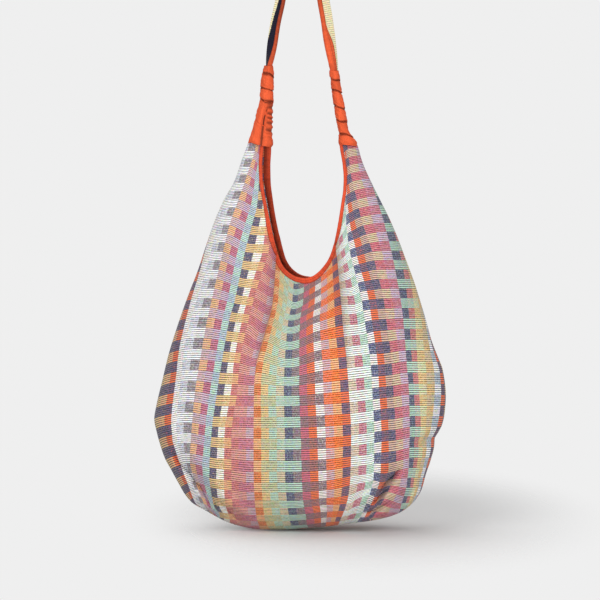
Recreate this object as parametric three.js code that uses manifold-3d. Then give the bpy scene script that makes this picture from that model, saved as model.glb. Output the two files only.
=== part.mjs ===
// Slouchy round shoulder bag of woven check cloth, hung by its strap.
// Two cloth panels make a balloon-shaped body with a deep U neckline on each side. The neckline edges
// are bound with a folded cloth strip. Each pair of leg ends is gathered with the end of a folded strap
// and wound with a cloth strip. Millimetres, +Z up, front towards -Y. Heights are measured from the
// bottom of the bag, and the finished group is lowered so that the origin is under the top of the strap.
import * as THREE from 'three';
import { mergeVertices } from 'three/addons/utils/BufferGeometryUtils.js';
import Module from 'manifold-3d';

// Cloth thicknesses and the clearance between neighbouring pieces
const CLOTH = 2;
const BINDING_CLOTH = 1.2;
const CLEARANCE = 0.3;

// Body: outside widths and depths at each level, and how far each level lies above the one before
const BOTTOM_WIDTH = 130;
const BOTTOM_DEPTH = 24;
const BELLY_WIDTH = 406;
const BELLY_DEPTH = 184;
const BELLY_HEIGHT = 150;
const BELLY_RUN = 32;
const MOUTH_WIDTH = 308;
const MOUTH_DEPTH = 168;
const MOUTH_RISE = 168;
const SHOULDER_WIDTH = 218;
const SHOULDER_DEPTH = 92;
const SHOULDER_RISE = 112;
const LEG_SPREAD = 152;
const LEG_DEPTH = 20;
const LEG_RISE = 81;
const LEG_TAPER = 0.4;
const SECTION_FULLNESS = 2.3;

// The cloth drops back between the two shoulders: share of the depth lost at the mouth, and its breadth
const MOUTH_DIP = 0.55;
const MOUTH_DIP_BREADTH = 45;

const MOUTH_HEIGHT = BELLY_HEIGHT + BELLY_RUN + MOUTH_RISE;
const SHOULDER_HEIGHT = MOUTH_HEIGHT + SHOULDER_RISE;
const LEG_HEIGHT = SHOULDER_HEIGHT + LEG_RISE;

// Neckline: a U that opens from its bottom to its widest place and closes a little at the leg ends
const NECK_LIFT = 2;
const NECK_BOTTOM_WIDTH = 44;
const NECK_BOTTOM_RISE = 10;
const NECK_MIDDLE_WIDTH = 78;
const NECK_MIDDLE_RISE = 54;
const NECK_WIDEST = 115;
const NECK_WIDEST_RISE = 140;
const NECK_TOP_WIDTH = 99;
const BINDING_WIDTH = 7;
const NECK_BOTTOM = MOUTH_HEIGHT + NECK_LIFT;
const LEG_MIDDLE = (LEG_SPREAD + NECK_TOP_WIDTH) / 4;

// Strap: a strip folded in two, fold at the back, with its raw edges bound at the front
const STRAP_WIDTH = 20;
const STRAP_SLIT = 0.4;
const STRAP_RISE = 175;
const STRAP_TOP_RADIUS = 16;
const STRAP_TOP_FLAT = 14;
const STRAP_BOW = 4;
const STRAP_TWIST = THREE.MathUtils.degToRad(48);
const STRAP_BINDING_WIDTH = 8;
const STRAP_LEAF = (CLOTH * 2 + STRAP_SLIT) / 2;

// Wound sleeves over the leg ends: wide over the bound legs, narrow over the bound strap
const WRAP_LENGTH = 104;
const WRAP_OVERLAP = 14;
const WRAP_WALL = 2.4;
const WRAP_WAIST_WIDTH = 22;
const WRAP_TOP_SPREAD = 91;
const WRAP_TURNS = 6;
const WRAP_LAP = 0.9;
const WRAP_FULLNESS = 3;
const WRAP_ROOM = BINDING_CLOTH + CLEARANCE * 2;
const WRAP_MARGIN = WRAP_ROOM + WRAP_WALL;
const WRAP_END_WIDTH = (LEG_SPREAD - NECK_TOP_WIDTH) / 2 + WRAP_MARGIN * 2;
const WRAP_END_DEPTH = LEG_DEPTH + WRAP_MARGIN * 2;
const WRAP_TOP_WIDTH = (STRAP_LEAF + WRAP_MARGIN) * 2;
const WRAP_TOP_DEPTH = STRAP_WIDTH + WRAP_MARGIN * 2;
const WRAP_TOP_HEIGHT = LEG_HEIGHT + WRAP_LENGTH;
const STRAP_TOP = WRAP_TOP_HEIGHT + STRAP_RISE;

// Roundness of the strap's fold and of a binding's folded edge, as shares of their thickness
const FOLD_ROUNDNESS = 0.7;
const BINDING_ROUNDNESS = 0.6;

// Facet counts
const SECTION_POINTS = 40;
const LOWER_RINGS = 6;
const UPPER_RINGS = 12;
const NECK_POINTS = 16;
const WRAP_RINGS = 18;
const WRAP_POINTS = 18;
const STRAND_STEPS = 18;
const ARC_STEPS = 4;

const wasm = await Module();
wasm.setup();

// Closed geometry to boolean solid
function solid(geometry) {
  const bare = geometry.clone();
  bare.deleteAttribute('normal');
  bare.deleteAttribute('uv');
  const merged = mergeVertices(bare, 1e-4);
  const mesh = new wasm.Mesh({
    numProp: 3,
    vertProperties: new Float32Array(merged.attributes.position.array),
    triVerts: new Uint32Array(merged.index.array),
  });
  return new wasm.Manifold(mesh);
}

// Boolean solid back to geometry
function geometryOf(body) {
  const mesh = body.getMesh();
  const geometry = new THREE.BufferGeometry();
  geometry.setAttribute('position', new THREE.BufferAttribute(new Float32Array(mesh.vertProperties), 3));
  geometry.setIndex(new THREE.BufferAttribute(new Uint32Array(mesh.triVerts), 1));
  geometry.computeVertexNormals();
  return geometry;
}

// Closed surface through rings of equal point count, ends closed by the given outline triangles
function skin(rings, capTriangles) {
  const count = rings[0].length;
  const last = (rings.length - 1) * count;
  const positions = rings.flat().flatMap((point) => [point.x, point.y, point.z]);
  const index = [];
  for (let ring = 0; ring < rings.length - 1; ring += 1) {
    for (let side = 0; side < count; side += 1) {
      const a = ring * count + side;
      const b = ring * count + ((side + 1) % count);
      index.push(a, b, b + count, a, b + count, a + count);
    }
  }
  for (const [a, b, c] of capTriangles) {
    index.push(a, c, b);
    index.push(last + a, last + b, last + c);
  }
  const geometry = new THREE.BufferGeometry();
  geometry.setAttribute('position', new THREE.Float32BufferAttribute(positions, 3));
  geometry.setIndex(index);
  return geometry;
}

// Rounded-box outline, counter-clockwise
function roundOutline(halfWidth, halfDepth, fullness, count) {
  return Array.from({ length: count }, (_, step) => {
    const angle = (step / count) * Math.PI * 2;
    const along = Math.cos(angle);
    const across = Math.sin(angle);
    const x = Math.sign(along) * Math.abs(along) ** (2 / fullness) * halfWidth;
    const y = Math.sign(across) * Math.abs(across) ** (2 / fullness) * halfDepth;
    return new THREE.Vector2(x, y);
  });
}

// Body profile from bottom to past the leg ends: x is half the width, y half the depth, z the height
function bodyProfile() {
  const lower = Array.from({ length: LOWER_RINGS }, (_, step) => {
    const angle = (step / LOWER_RINGS) * (Math.PI / 2);
    const swell = Math.sin(angle);
    return new THREE.Vector3(
      THREE.MathUtils.lerp(BOTTOM_WIDTH, BELLY_WIDTH, swell) / 2,
      THREE.MathUtils.lerp(BOTTOM_DEPTH, BELLY_DEPTH, swell) / 2,
      BELLY_HEIGHT * (1 - Math.cos(angle)),
    );
  });
  const past = WRAP_OVERLAP * 2;
  const upper = new THREE.CatmullRomCurve3([
    new THREE.Vector3(BELLY_WIDTH / 2, BELLY_DEPTH / 2, BELLY_HEIGHT),
    new THREE.Vector3(BELLY_WIDTH / 2, BELLY_DEPTH / 2, BELLY_HEIGHT + BELLY_RUN),
    new THREE.Vector3(MOUTH_WIDTH / 2, MOUTH_DEPTH / 2, MOUTH_HEIGHT),
    new THREE.Vector3(SHOULDER_WIDTH / 2, SHOULDER_DEPTH / 2, SHOULDER_HEIGHT),
    new THREE.Vector3(LEG_SPREAD / 2, LEG_DEPTH / 2, LEG_HEIGHT),
    new THREE.Vector3(LEG_SPREAD / 2 - LEG_TAPER * past, LEG_DEPTH / 2, LEG_HEIGHT + past),
  ]);
  return [...lower, ...upper.getSpacedPoints(UPPER_RINGS)];
}

// How far the cloth drops back between the shoulders at a place of the profile, in the bag's middle
function middleDip(place) {
  const growing = THREE.MathUtils.smoothstep(place.z, BELLY_HEIGHT + BELLY_RUN, MOUTH_HEIGHT);
  const fading = 1 - THREE.MathUtils.smoothstep(place.z, MOUTH_HEIGHT, LEG_HEIGHT);
  return MOUTH_DIP * place.y * growing * fading;
}

// Solid balloon that lies the given distance outside the body's outer face
function balloon(offset) {
  const rings = bodyProfile().map((place) => {
    const squeeze = Math.min(place.z / BELLY_HEIGHT, 1);
    const height = place.z - offset * (1 - squeeze);
    const dip = middleDip(place);
    return roundOutline(place.x + offset, place.y + offset, SECTION_FULLNESS, SECTION_POINTS).map((point) => {
      const back = dip * Math.exp(-((point.x / MOUTH_DIP_BREADTH) ** 2));
      return new THREE.Vector3(point.x, point.y - Math.sign(point.y) * back, height);
    });
  });
  const flat = rings[0].map((point) => new THREE.Vector2(point.x, point.y));
  return solid(skin(rings, THREE.ShapeUtils.triangulateShape(flat, [])));
}

const shellBetween = (outside, inside) => balloon(outside).subtract(balloon(inside));

// Right half of the neckline, from its bottom to past the leg ends: x is half the opening, y the height
function neckHalf() {
  const curve = new THREE.SplineCurve([
    new THREE.Vector2(0, NECK_BOTTOM),
    new THREE.Vector2(NECK_BOTTOM_WIDTH / 2, NECK_BOTTOM + NECK_BOTTOM_RISE),
    new THREE.Vector2(NECK_MIDDLE_WIDTH / 2, NECK_BOTTOM + NECK_MIDDLE_RISE),
    new THREE.Vector2(NECK_WIDEST / 2, NECK_BOTTOM + NECK_WIDEST_RISE),
    new THREE.Vector2(NECK_TOP_WIDTH / 2, LEG_HEIGHT),
    new THREE.Vector2(NECK_TOP_WIDTH / 2, LEG_HEIGHT + WRAP_OVERLAP * 2),
  ]);
  return curve.getSpacedPoints(NECK_POINTS);
}

// Neckline opening, larger than the cloth's edge by the given distance, as a prism right through the bag
function neckPrism(growth) {
  const half = neckHalf();
  const moved = half.map((point, step) => {
    const before = half[Math.max(step - 1, 0)];
    const after = half[Math.min(step + 1, half.length - 1)];
    const along = step === 0 ? new THREE.Vector2(1, 0) : after.clone().sub(before).normalize();
    return new THREE.Vector2(point.x + along.y * growth, point.y - along.x * growth);
  });
  const mirrored = moved.slice(1).reverse().map((point) => new THREE.Vector2(-point.x, point.y));
  const outline = new THREE.Shape([...mirrored, ...moved]);
  const prism = new THREE.ExtrudeGeometry(outline, { depth: BELLY_DEPTH * 2, bevelEnabled: false });
  prism.rotateX(Math.PI / 2);
  prism.translate(0, BELLY_DEPTH, 0);
  return solid(prism);
}

// Everything on one side of the side seams, from below the bag to the leg ends
function clothHalf(side) {
  const top = LEG_HEIGHT + WRAP_OVERLAP;
  const height = top + BELLY_HEIGHT;
  const box = new THREE.BoxGeometry(BELLY_WIDTH * 2, BELLY_DEPTH * 2, height);
  box.translate(0, side * (BELLY_DEPTH + CLEARANCE / 2), top - height / 2);
  return solid(box);
}

// One cloth panel: half of the balloon's wall with the neckline cut out
function panelGeometry(side) {
  const wall = shellBetween(0, -CLOTH).intersect(clothHalf(side));
  return geometryOf(wall.subtract(neckPrism(0)));
}

// Folded strip over a panel's neckline edge: a channel that holds the edge with clearance all round
function neckBindingGeometry(side) {
  const outside = CLEARANCE + BINDING_CLOTH;
  const folded = shellBetween(outside, -CLOTH - outside)
    .intersect(clothHalf(side))
    .intersect(neckPrism(BINDING_WIDTH))
    .subtract(neckPrism(-outside));
  const slot = shellBetween(CLEARANCE, -CLOTH - CLEARANCE).subtract(neckPrism(-CLEARANCE));
  return geometryOf(folded.subtract(slot));
}

// Centre line of the strap, from the left leg end over the top to the right one: each place has its
// point, its direction and how far the strip is turned about that direction
function strapPlaces() {
  const end = new THREE.Vector2(LEG_MIDDLE, LEG_HEIGHT + WRAP_OVERLAP + CLEARANCE);
  const wrapTop = new THREE.Vector2(WRAP_TOP_SPREAD / 2, WRAP_TOP_HEIGHT);
  const arcCentre = new THREE.Vector2(STRAP_TOP_FLAT / 2, STRAP_TOP + STRAP_LEAF - STRAP_TOP_RADIUS);
  const arcStart = arcCentre.clone().add(new THREE.Vector2(STRAP_TOP_RADIUS, 0));
  const middle = wrapTop.clone().lerp(arcStart, 0.5);
  middle.x += STRAP_BOW;
  const strand = new THREE.SplineCurve([end, wrapTop, middle, arcStart]);
  const wrapShare = end.distanceTo(wrapTop) / strand.getLength();
  const rising = [];
  for (let step = 0; step < STRAND_STEPS; step += 1) {
    const share = step / STRAND_STEPS;
    const free = Math.max(0, (share - wrapShare) / (1 - wrapShare));
    const along = step === 0 ? new THREE.Vector2(0, 1) : strand.getTangentAt(share);
    const turn = STRAP_TWIST * Math.sin(Math.PI * free) ** 2;
    rising.push({ point: strand.getPointAt(share), along, turn });
  }
  for (let step = 0; step <= ARC_STEPS; step += 1) {
    const angle = (step / ARC_STEPS) * (Math.PI / 2);
    const outward = new THREE.Vector2(Math.cos(angle), Math.sin(angle));
    const point = arcCentre.clone().addScaledVector(outward, STRAP_TOP_RADIUS);
    rising.push({ point, along: new THREE.Vector2(-outward.y, outward.x), turn: 0 });
  }
  const left = rising.map(({ point, along, turn }) => ({
    point: new THREE.Vector2(-point.x, point.y),
    along: new THREE.Vector2(-along.x, along.y),
    turn,
  }));
  const right = rising.map(({ point, along, turn }) => ({ point, along: along.clone().negate(), turn }));
  return [...left, ...right.reverse()];
}

// Section swept along the strap: x of the section runs from front to back, y from inside to outside
function sweep(places, section) {
  const back = new THREE.Vector3(0, 1, 0);
  const rings = places.map(({ point, along, turn }) => {
    const direction = new THREE.Vector3(along.x, 0, along.y);
    const outward = new THREE.Vector3().crossVectors(direction, back);
    const across = back.clone().multiplyScalar(Math.cos(turn)).addScaledVector(outward, Math.sin(turn));
    const normal = outward.multiplyScalar(Math.cos(turn)).addScaledVector(back, -Math.sin(turn));
    return section.map((corner) => new THREE.Vector3(point.x, 0, point.y)
      .addScaledVector(across, corner.x)
      .addScaledVector(normal, corner.y));
  });
  return skin(rings, THREE.ShapeUtils.triangulateShape(section, []));
}

const corners = (pairs) => pairs.map(([x, y]) => new THREE.Vector2(x, y));

// Strip folded in two: hairpin section with its fold at the back
function strapSection() {
  const front = -STRAP_WIDTH / 2;
  const back = STRAP_WIDTH / 2;
  const bound = front + STRAP_BINDING_WIDTH + CLEARANCE;
  const slit = STRAP_SLIT / 2;
  const foldStart = back - STRAP_LEAF;
  const foldInset = STRAP_LEAF * (1 - FOLD_ROUNDNESS);
  return corners([
    [front, -STRAP_LEAF],
    [bound, -STRAP_LEAF],
    [foldStart, -STRAP_LEAF],
    [back - foldInset, -STRAP_LEAF * FOLD_ROUNDNESS],
    [back, 0],
    [back - foldInset, STRAP_LEAF * FOLD_ROUNDNESS],
    [foldStart, STRAP_LEAF],
    [bound, STRAP_LEAF],
    [front, STRAP_LEAF],
    [front, slit],
    [bound, slit],
    [foldStart, slit],
    [foldStart, -slit],
    [bound, -slit],
    [front, -slit],
  ]);
}

// Room that a strap of the given half thickness takes, with the given margin in front and behind
function roomSection(halfThickness, frontMargin, backMargin) {
  const front = -STRAP_WIDTH / 2 - frontMargin;
  const bound = -STRAP_WIDTH / 2 + STRAP_BINDING_WIDTH + CLEARANCE;
  const back = STRAP_WIDTH / 2 + backMargin;
  return corners([
    [front, -halfThickness],
    [bound, -halfThickness],
    [back, -halfThickness],
    [back, halfThickness],
    [bound, halfThickness],
    [front, halfThickness],
    [front, STRAP_SLIT / 2],
    [front, -STRAP_SLIT / 2],
  ]);
}

// Places of the strap, carried on past both ends by the clearance
function roomPlaces() {
  const places = strapPlaces();
  const past = ({ point, along, turn }) => {
    const lower = new THREE.Vector2(point.x, point.y - CLEARANCE);
    return { point: lower, along, turn };
  };
  return [past(places[0]), ...places, past(places[places.length - 1])];
}

// Folded strip over the strap's raw edges: a rounded bar less the room that the strap takes
function strapBindingGeometry() {
  const front = -STRAP_WIDTH / 2 - CLEARANCE;
  const bound = -STRAP_WIDTH / 2 + STRAP_BINDING_WIDTH;
  const inner = STRAP_LEAF + CLEARANCE;
  const outer = inner + BINDING_CLOTH;
  const shoulder = front - BINDING_CLOTH * (1 - BINDING_ROUNDNESS);
  const bar = corners([
    [shoulder, -outer],
    [bound, -outer],
    [bound, outer],
    [shoulder, outer],
    [front - BINDING_CLOTH, inner],
    [front - BINDING_CLOTH, -inner],
  ]);
  const room = sweep(roomPlaces(), roomSection(inner, CLEARANCE, CLEARANCE));
  return geometryOf(solid(sweep(strapPlaces(), bar)).subtract(solid(room)));
}

// Strip wound in a spiral round the leg ends and the strap end, as one hollow sleeve
function wrapGeometry(side) {
  const line = new THREE.LineCurve(
    new THREE.Vector2(side * LEG_MIDDLE, LEG_HEIGHT),
    new THREE.Vector2((side * WRAP_TOP_SPREAD) / 2, WRAP_TOP_HEIGHT),
  );
  const girth = new THREE.CatmullRomCurve3([
    new THREE.Vector3(WRAP_END_WIDTH / 2, WRAP_END_DEPTH / 2, 0),
    new THREE.Vector3(WRAP_WAIST_WIDTH / 2, WRAP_TOP_DEPTH / 2, WRAP_LENGTH / 2),
    new THREE.Vector3(WRAP_TOP_WIDTH / 2, WRAP_TOP_DEPTH / 2, WRAP_LENGTH),
  ]);
  const rings = Array.from({ length: WRAP_RINGS + 1 }, (_, ring) => {
    const share = ring / WRAP_RINGS;
    const middle = line.getPoint(share);
    const size = girth.getPoint(share);
    return roundOutline(size.x, size.y, WRAP_FULLNESS, WRAP_POINTS).map((point, step) => {
      const wound = share * WRAP_TURNS + (side * step) / WRAP_POINTS;
      const lap = 1 + (WRAP_LAP * (1 - (wound - Math.floor(wound)))) / point.length();
      return new THREE.Vector3(middle.x + point.x * lap, point.y * lap, middle.y);
    });
  });
  const flat = roundOutline(1, 1, WRAP_FULLNESS, WRAP_POINTS);
  const sleeve = solid(skin(rings, THREE.ShapeUtils.triangulateShape(flat, [])));
  const legRoom = balloon(WRAP_ROOM).subtract(neckPrism(-WRAP_ROOM));
  const top = LEG_HEIGHT + WRAP_OVERLAP + CLEARANCE;
  const below = new THREE.BoxGeometry(BELLY_WIDTH * 2, BELLY_DEPTH * 2, top * 2);
  const strapRoom = sweep(roomPlaces(), roomSection(STRAP_LEAF + WRAP_ROOM, WRAP_ROOM, CLEARANCE));
  return geometryOf(sleeve.subtract(legRoom.intersect(solid(below))).subtract(solid(strapRoom)));
}

const panelCloth = new THREE.MeshStandardMaterial({ color: 0xcfa592, roughness: 0.95, metalness: 0 });
const bindingCloth = new THREE.MeshStandardMaterial({ color: 0xd84a2b, roughness: 0.9, metalness: 0 });
const wrapCloth = new THREE.MeshStandardMaterial({ color: 0xea5f38, roughness: 0.9, metalness: 0 });
const strapCloth = new THREE.MeshStandardMaterial({ color: 0xeee2b8, roughness: 0.95, metalness: 0 });

const bag = new THREE.Group();
bag.position.z = -STRAP_TOP;

function addPiece(name, geometry, material) {
  const piece = new THREE.Mesh(geometry, material);
  piece.name = name;
  bag.add(piece);
}

const FRONT = -1;
const BACK = 1;
const LEFT = -1;
const RIGHT = 1;

addPiece('front_panel', panelGeometry(FRONT), panelCloth);
addPiece('back_panel', panelGeometry(BACK), panelCloth);
addPiece('front_neck_binding', neckBindingGeometry(FRONT), bindingCloth);
addPiece('back_neck_binding', neckBindingGeometry(BACK), bindingCloth);
addPiece('left_wrap', wrapGeometry(LEFT), wrapCloth);
addPiece('right_wrap', wrapGeometry(RIGHT), wrapCloth);
addPiece('strap_band', sweep(strapPlaces(), strapSection()), strapCloth);
addPiece('strap_binding', strapBindingGeometry(), bindingCloth);

const balloonBag = new THREE.Group();
balloonBag.add(bag);

export default balloonBag;
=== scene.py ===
"""Balloon bag of ribbed check cloth, hung by its strap: the looks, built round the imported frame.

Heights are metres above the bag's lowest point and x runs to the right of the photograph. Outlines, stripe
edges and block rows are places read off the photograph, row and column in pixels, and PIXEL turns them into
metres.
"""
import math

import bpy
import numpy as np
from bpy.props import FloatProperty, FloatVectorProperty, IntProperty, PointerProperty
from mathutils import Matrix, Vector


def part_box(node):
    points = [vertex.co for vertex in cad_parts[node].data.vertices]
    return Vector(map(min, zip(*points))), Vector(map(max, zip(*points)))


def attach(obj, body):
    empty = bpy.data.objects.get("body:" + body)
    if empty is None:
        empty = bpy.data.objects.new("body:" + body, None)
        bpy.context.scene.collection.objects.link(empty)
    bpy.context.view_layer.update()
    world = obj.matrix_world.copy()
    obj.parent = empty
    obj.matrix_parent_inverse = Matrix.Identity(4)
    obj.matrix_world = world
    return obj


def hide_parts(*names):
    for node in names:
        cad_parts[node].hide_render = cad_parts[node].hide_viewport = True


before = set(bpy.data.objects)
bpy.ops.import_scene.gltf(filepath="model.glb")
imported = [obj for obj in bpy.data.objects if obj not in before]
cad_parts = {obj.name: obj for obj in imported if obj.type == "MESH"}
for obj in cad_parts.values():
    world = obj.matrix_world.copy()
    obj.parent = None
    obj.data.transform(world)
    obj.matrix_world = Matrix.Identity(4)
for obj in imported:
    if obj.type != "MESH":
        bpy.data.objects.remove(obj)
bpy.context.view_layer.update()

bl_info = {
    "name": "Balloon bag",
    "version": (1, 0, 0),
    "blender": (4, 5, 0),
    "location": "View3D > Sidebar > Bag",
    "description": "Builds a woven balloon bag round its packed frame",
    "category": "Object",
}

BAG_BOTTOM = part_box("front_panel")[0][2]
STRAP_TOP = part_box("strap_band")[1][2] - BAG_BOTTOM

# How the photograph maps to metres.
PIXEL = 0.0014
PHOTO_MIDDLE = 302
PHOTO_BOTTOM = 530
PHOTO_SIZE = 600
LOOK_DOWN = math.radians(4.5)

# The balloon's outline, photo row: column.
LEFT_EDGE = {
    128: 257, 136: 252.5, 141: 249.6, 160: 242, 180: 235, 200: 224, 220: 215, 243: 207, 270: 198,
    297: 187.5, 330: 176, 356: 168, 381: 162, 406: 156, 419: 154, 432: 156.5, 445: 160, 458: 164.5,
    470: 171, 483: 178, 495: 185, 503: 192, 510: 204, 517: 216, 522: 226, 526: 238, 529: 251, 530: 262,
}
RIGHT_EDGE = {
    128: 346, 136: 350.5, 141: 354.5, 146: 357.5, 160: 361.5, 180: 370, 200: 380, 220: 390, 240: 398.5,
    260: 406, 280: 413.5, 300: 420, 320: 426, 340: 431.5, 358: 438.5, 370: 443, 395: 446, 412: 445,
    424: 442.5, 433: 438, 438: 435, 446: 434.5, 460: 431, 475: 426, 488: 422.5, 500: 416, 510: 405,
    515: 395, 519: 381, 523: 356, 527: 326, 529: 302, 530: 286,
}
# Height of the balloon's widest part, its half depth there and above it (height: half depth), and how
# square its sections are.
BELLY_HEIGHT = 0.15
BELLY_DEPTH = 0.092
UPPER_DEPTHS = {
    0.15: 0.092, 0.20: 0.092, 0.29: 0.089, 0.35: 0.083, 0.41: 0.066, 0.462: 0.046, 0.51: 0.026,
    0.543: 0.011, 0.57: 0.009,
}
FULLNESS = 2.4
LEG_TOP = 0.556

# Stripe edges down the front, by their number counted from the left side seam. Each is photo row: column.
STRIPE_EDGES = {
    2: {300: 181, 330: 176.5, 365: 168.6, 390: 163, 420: 157.5, 432: 159.5, 445: 163.5, 460: 168.5,
        475: 176.5, 490: 184.5, 500: 191, 510: 199, 520: 205},
    4: {180: 219, 200: 215, 220: 211.5, 243: 207.5, 270: 200.7, 297: 192, 330: 184, 365: 177, 390: 174,
        420: 171.5, 432: 171, 445: 174, 460: 179.5, 475: 185.5, 490: 191, 503: 196, 520: 205.5},
    5: {128: 254, 141: 248.5, 160: 240.5, 180: 233.5, 200: 226, 225: 217, 250: 212.5, 275: 205, 300: 196.5,
        330: 188.5, 365: 182, 390: 179.5, 432: 176.5, 460: 183, 475: 188, 490: 193.5, 503: 199, 520: 208},
    7: {128: 260, 150: 256, 180: 246, 200: 239, 225: 230, 250: 224, 302: 212, 320: 208, 365: 200, 390: 196,
        435: 192, 460: 190.5, 475: 192.5, 490: 198, 503: 205, 520: 213},
    10: {128: 265, 180: 259.5, 205: 257.5, 225: 252.5, 250: 246, 302: 235, 320: 230, 365: 222, 390: 218,
         435: 212, 475: 210, 500: 213, 515: 217.5, 527: 224},
    13: {128: 272, 200: 271.5, 250: 269, 275: 261.5, 302: 253.5, 320: 249, 365: 240, 390: 238, 435: 232,
         475: 232, 500: 232.5, 515: 234.5, 528: 241},
    16: {128: 278, 260: 276, 290: 274, 304: 272.5, 322: 268, 340: 263, 358: 258, 371: 255.7, 390: 254.5,
         435: 254, 475: 254, 500: 255, 515: 256.5, 529: 260},
    20: {128: 294, 270: 294, 300: 292.5, 320: 288.5, 345: 286, 365: 284.7, 390: 284, 435: 285, 475: 285.3,
         500: 287, 515: 289, 529: 292},
    24: {128: 314, 250: 315.5, 300: 314.8, 320: 312.8, 345: 313.5, 365: 314.5, 390: 315, 435: 317,
         475: 318.3, 500: 319, 515: 321, 528: 321},
    28: {128: 330, 220: 331, 260: 337, 282: 339, 305: 341, 331: 343, 358: 346, 385: 348, 435: 350.6,
         475: 350, 495: 348, 507: 345, 520: 340},
    31: {128: 340.2, 150: 342.4, 165: 344.9, 178: 345.9, 190: 345.6, 200: 345.2, 220: 345.7, 250: 349,
         275: 355, 300: 361, 320: 364, 365: 370, 390: 371.5, 435: 373.6, 475: 373, 490: 370, 503: 365.5,
         515: 361, 525: 355},
    32: {128: 340.8, 165: 345.6, 190: 346.6, 200: 346.8, 208: 347.6, 227: 350, 242: 353.6, 262: 357.8,
         280: 363, 296: 367.3, 320: 371, 365: 377, 390: 378.5, 435: 380.7, 475: 379.8, 490: 376, 503: 370.7,
         515: 365.3, 525: 358.7},
    34: {128: 341.5, 141: 346, 180: 351.5, 200: 356.5, 220: 361, 250: 371, 275: 377, 300: 383, 320: 385.5,
         365: 391, 390: 392.5, 435: 395, 465: 395.5, 480: 392, 492: 387, 503: 381, 518: 372},
    36: {128: 351, 141: 357, 165: 364.5, 180: 370.5, 200: 377, 220: 382.5, 250: 391, 275: 395.5, 300: 400,
         320: 402.5, 365: 406, 390: 408, 435: 409, 465: 408.8, 480: 408, 492: 405, 505: 398.5, 516: 390},
    38: {180: 385, 200: 390, 220: 395.5, 250: 402.5, 275: 408.5, 300: 413, 320: 415, 365: 416.5, 390: 418,
         435: 420.5, 465: 419, 480: 416, 492: 411.5, 505: 404, 516: 393},
    40: {260: 411, 280: 416, 300: 420.5, 320: 424.5, 340: 428, 365: 432, 390: 433.5, 410: 433, 435: 429,
         465: 425.5, 480: 421.5, 492: 416.5, 505: 408, 516: 396},
}
# Cloth beyond the outermost stripe edges, which the side seams cut off where it is wider than the room left
# for it.
LEFT_SEAM_CLOTH = 0.024
RIGHT_SEAM_CLOTH = 0.034
# How far up and down a line near a side seam is evened out, in metres, and from which share of the half
# width on.
SIDE_CALM = 0.05
CALM_SHARES = (0.78, 0.93)

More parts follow.
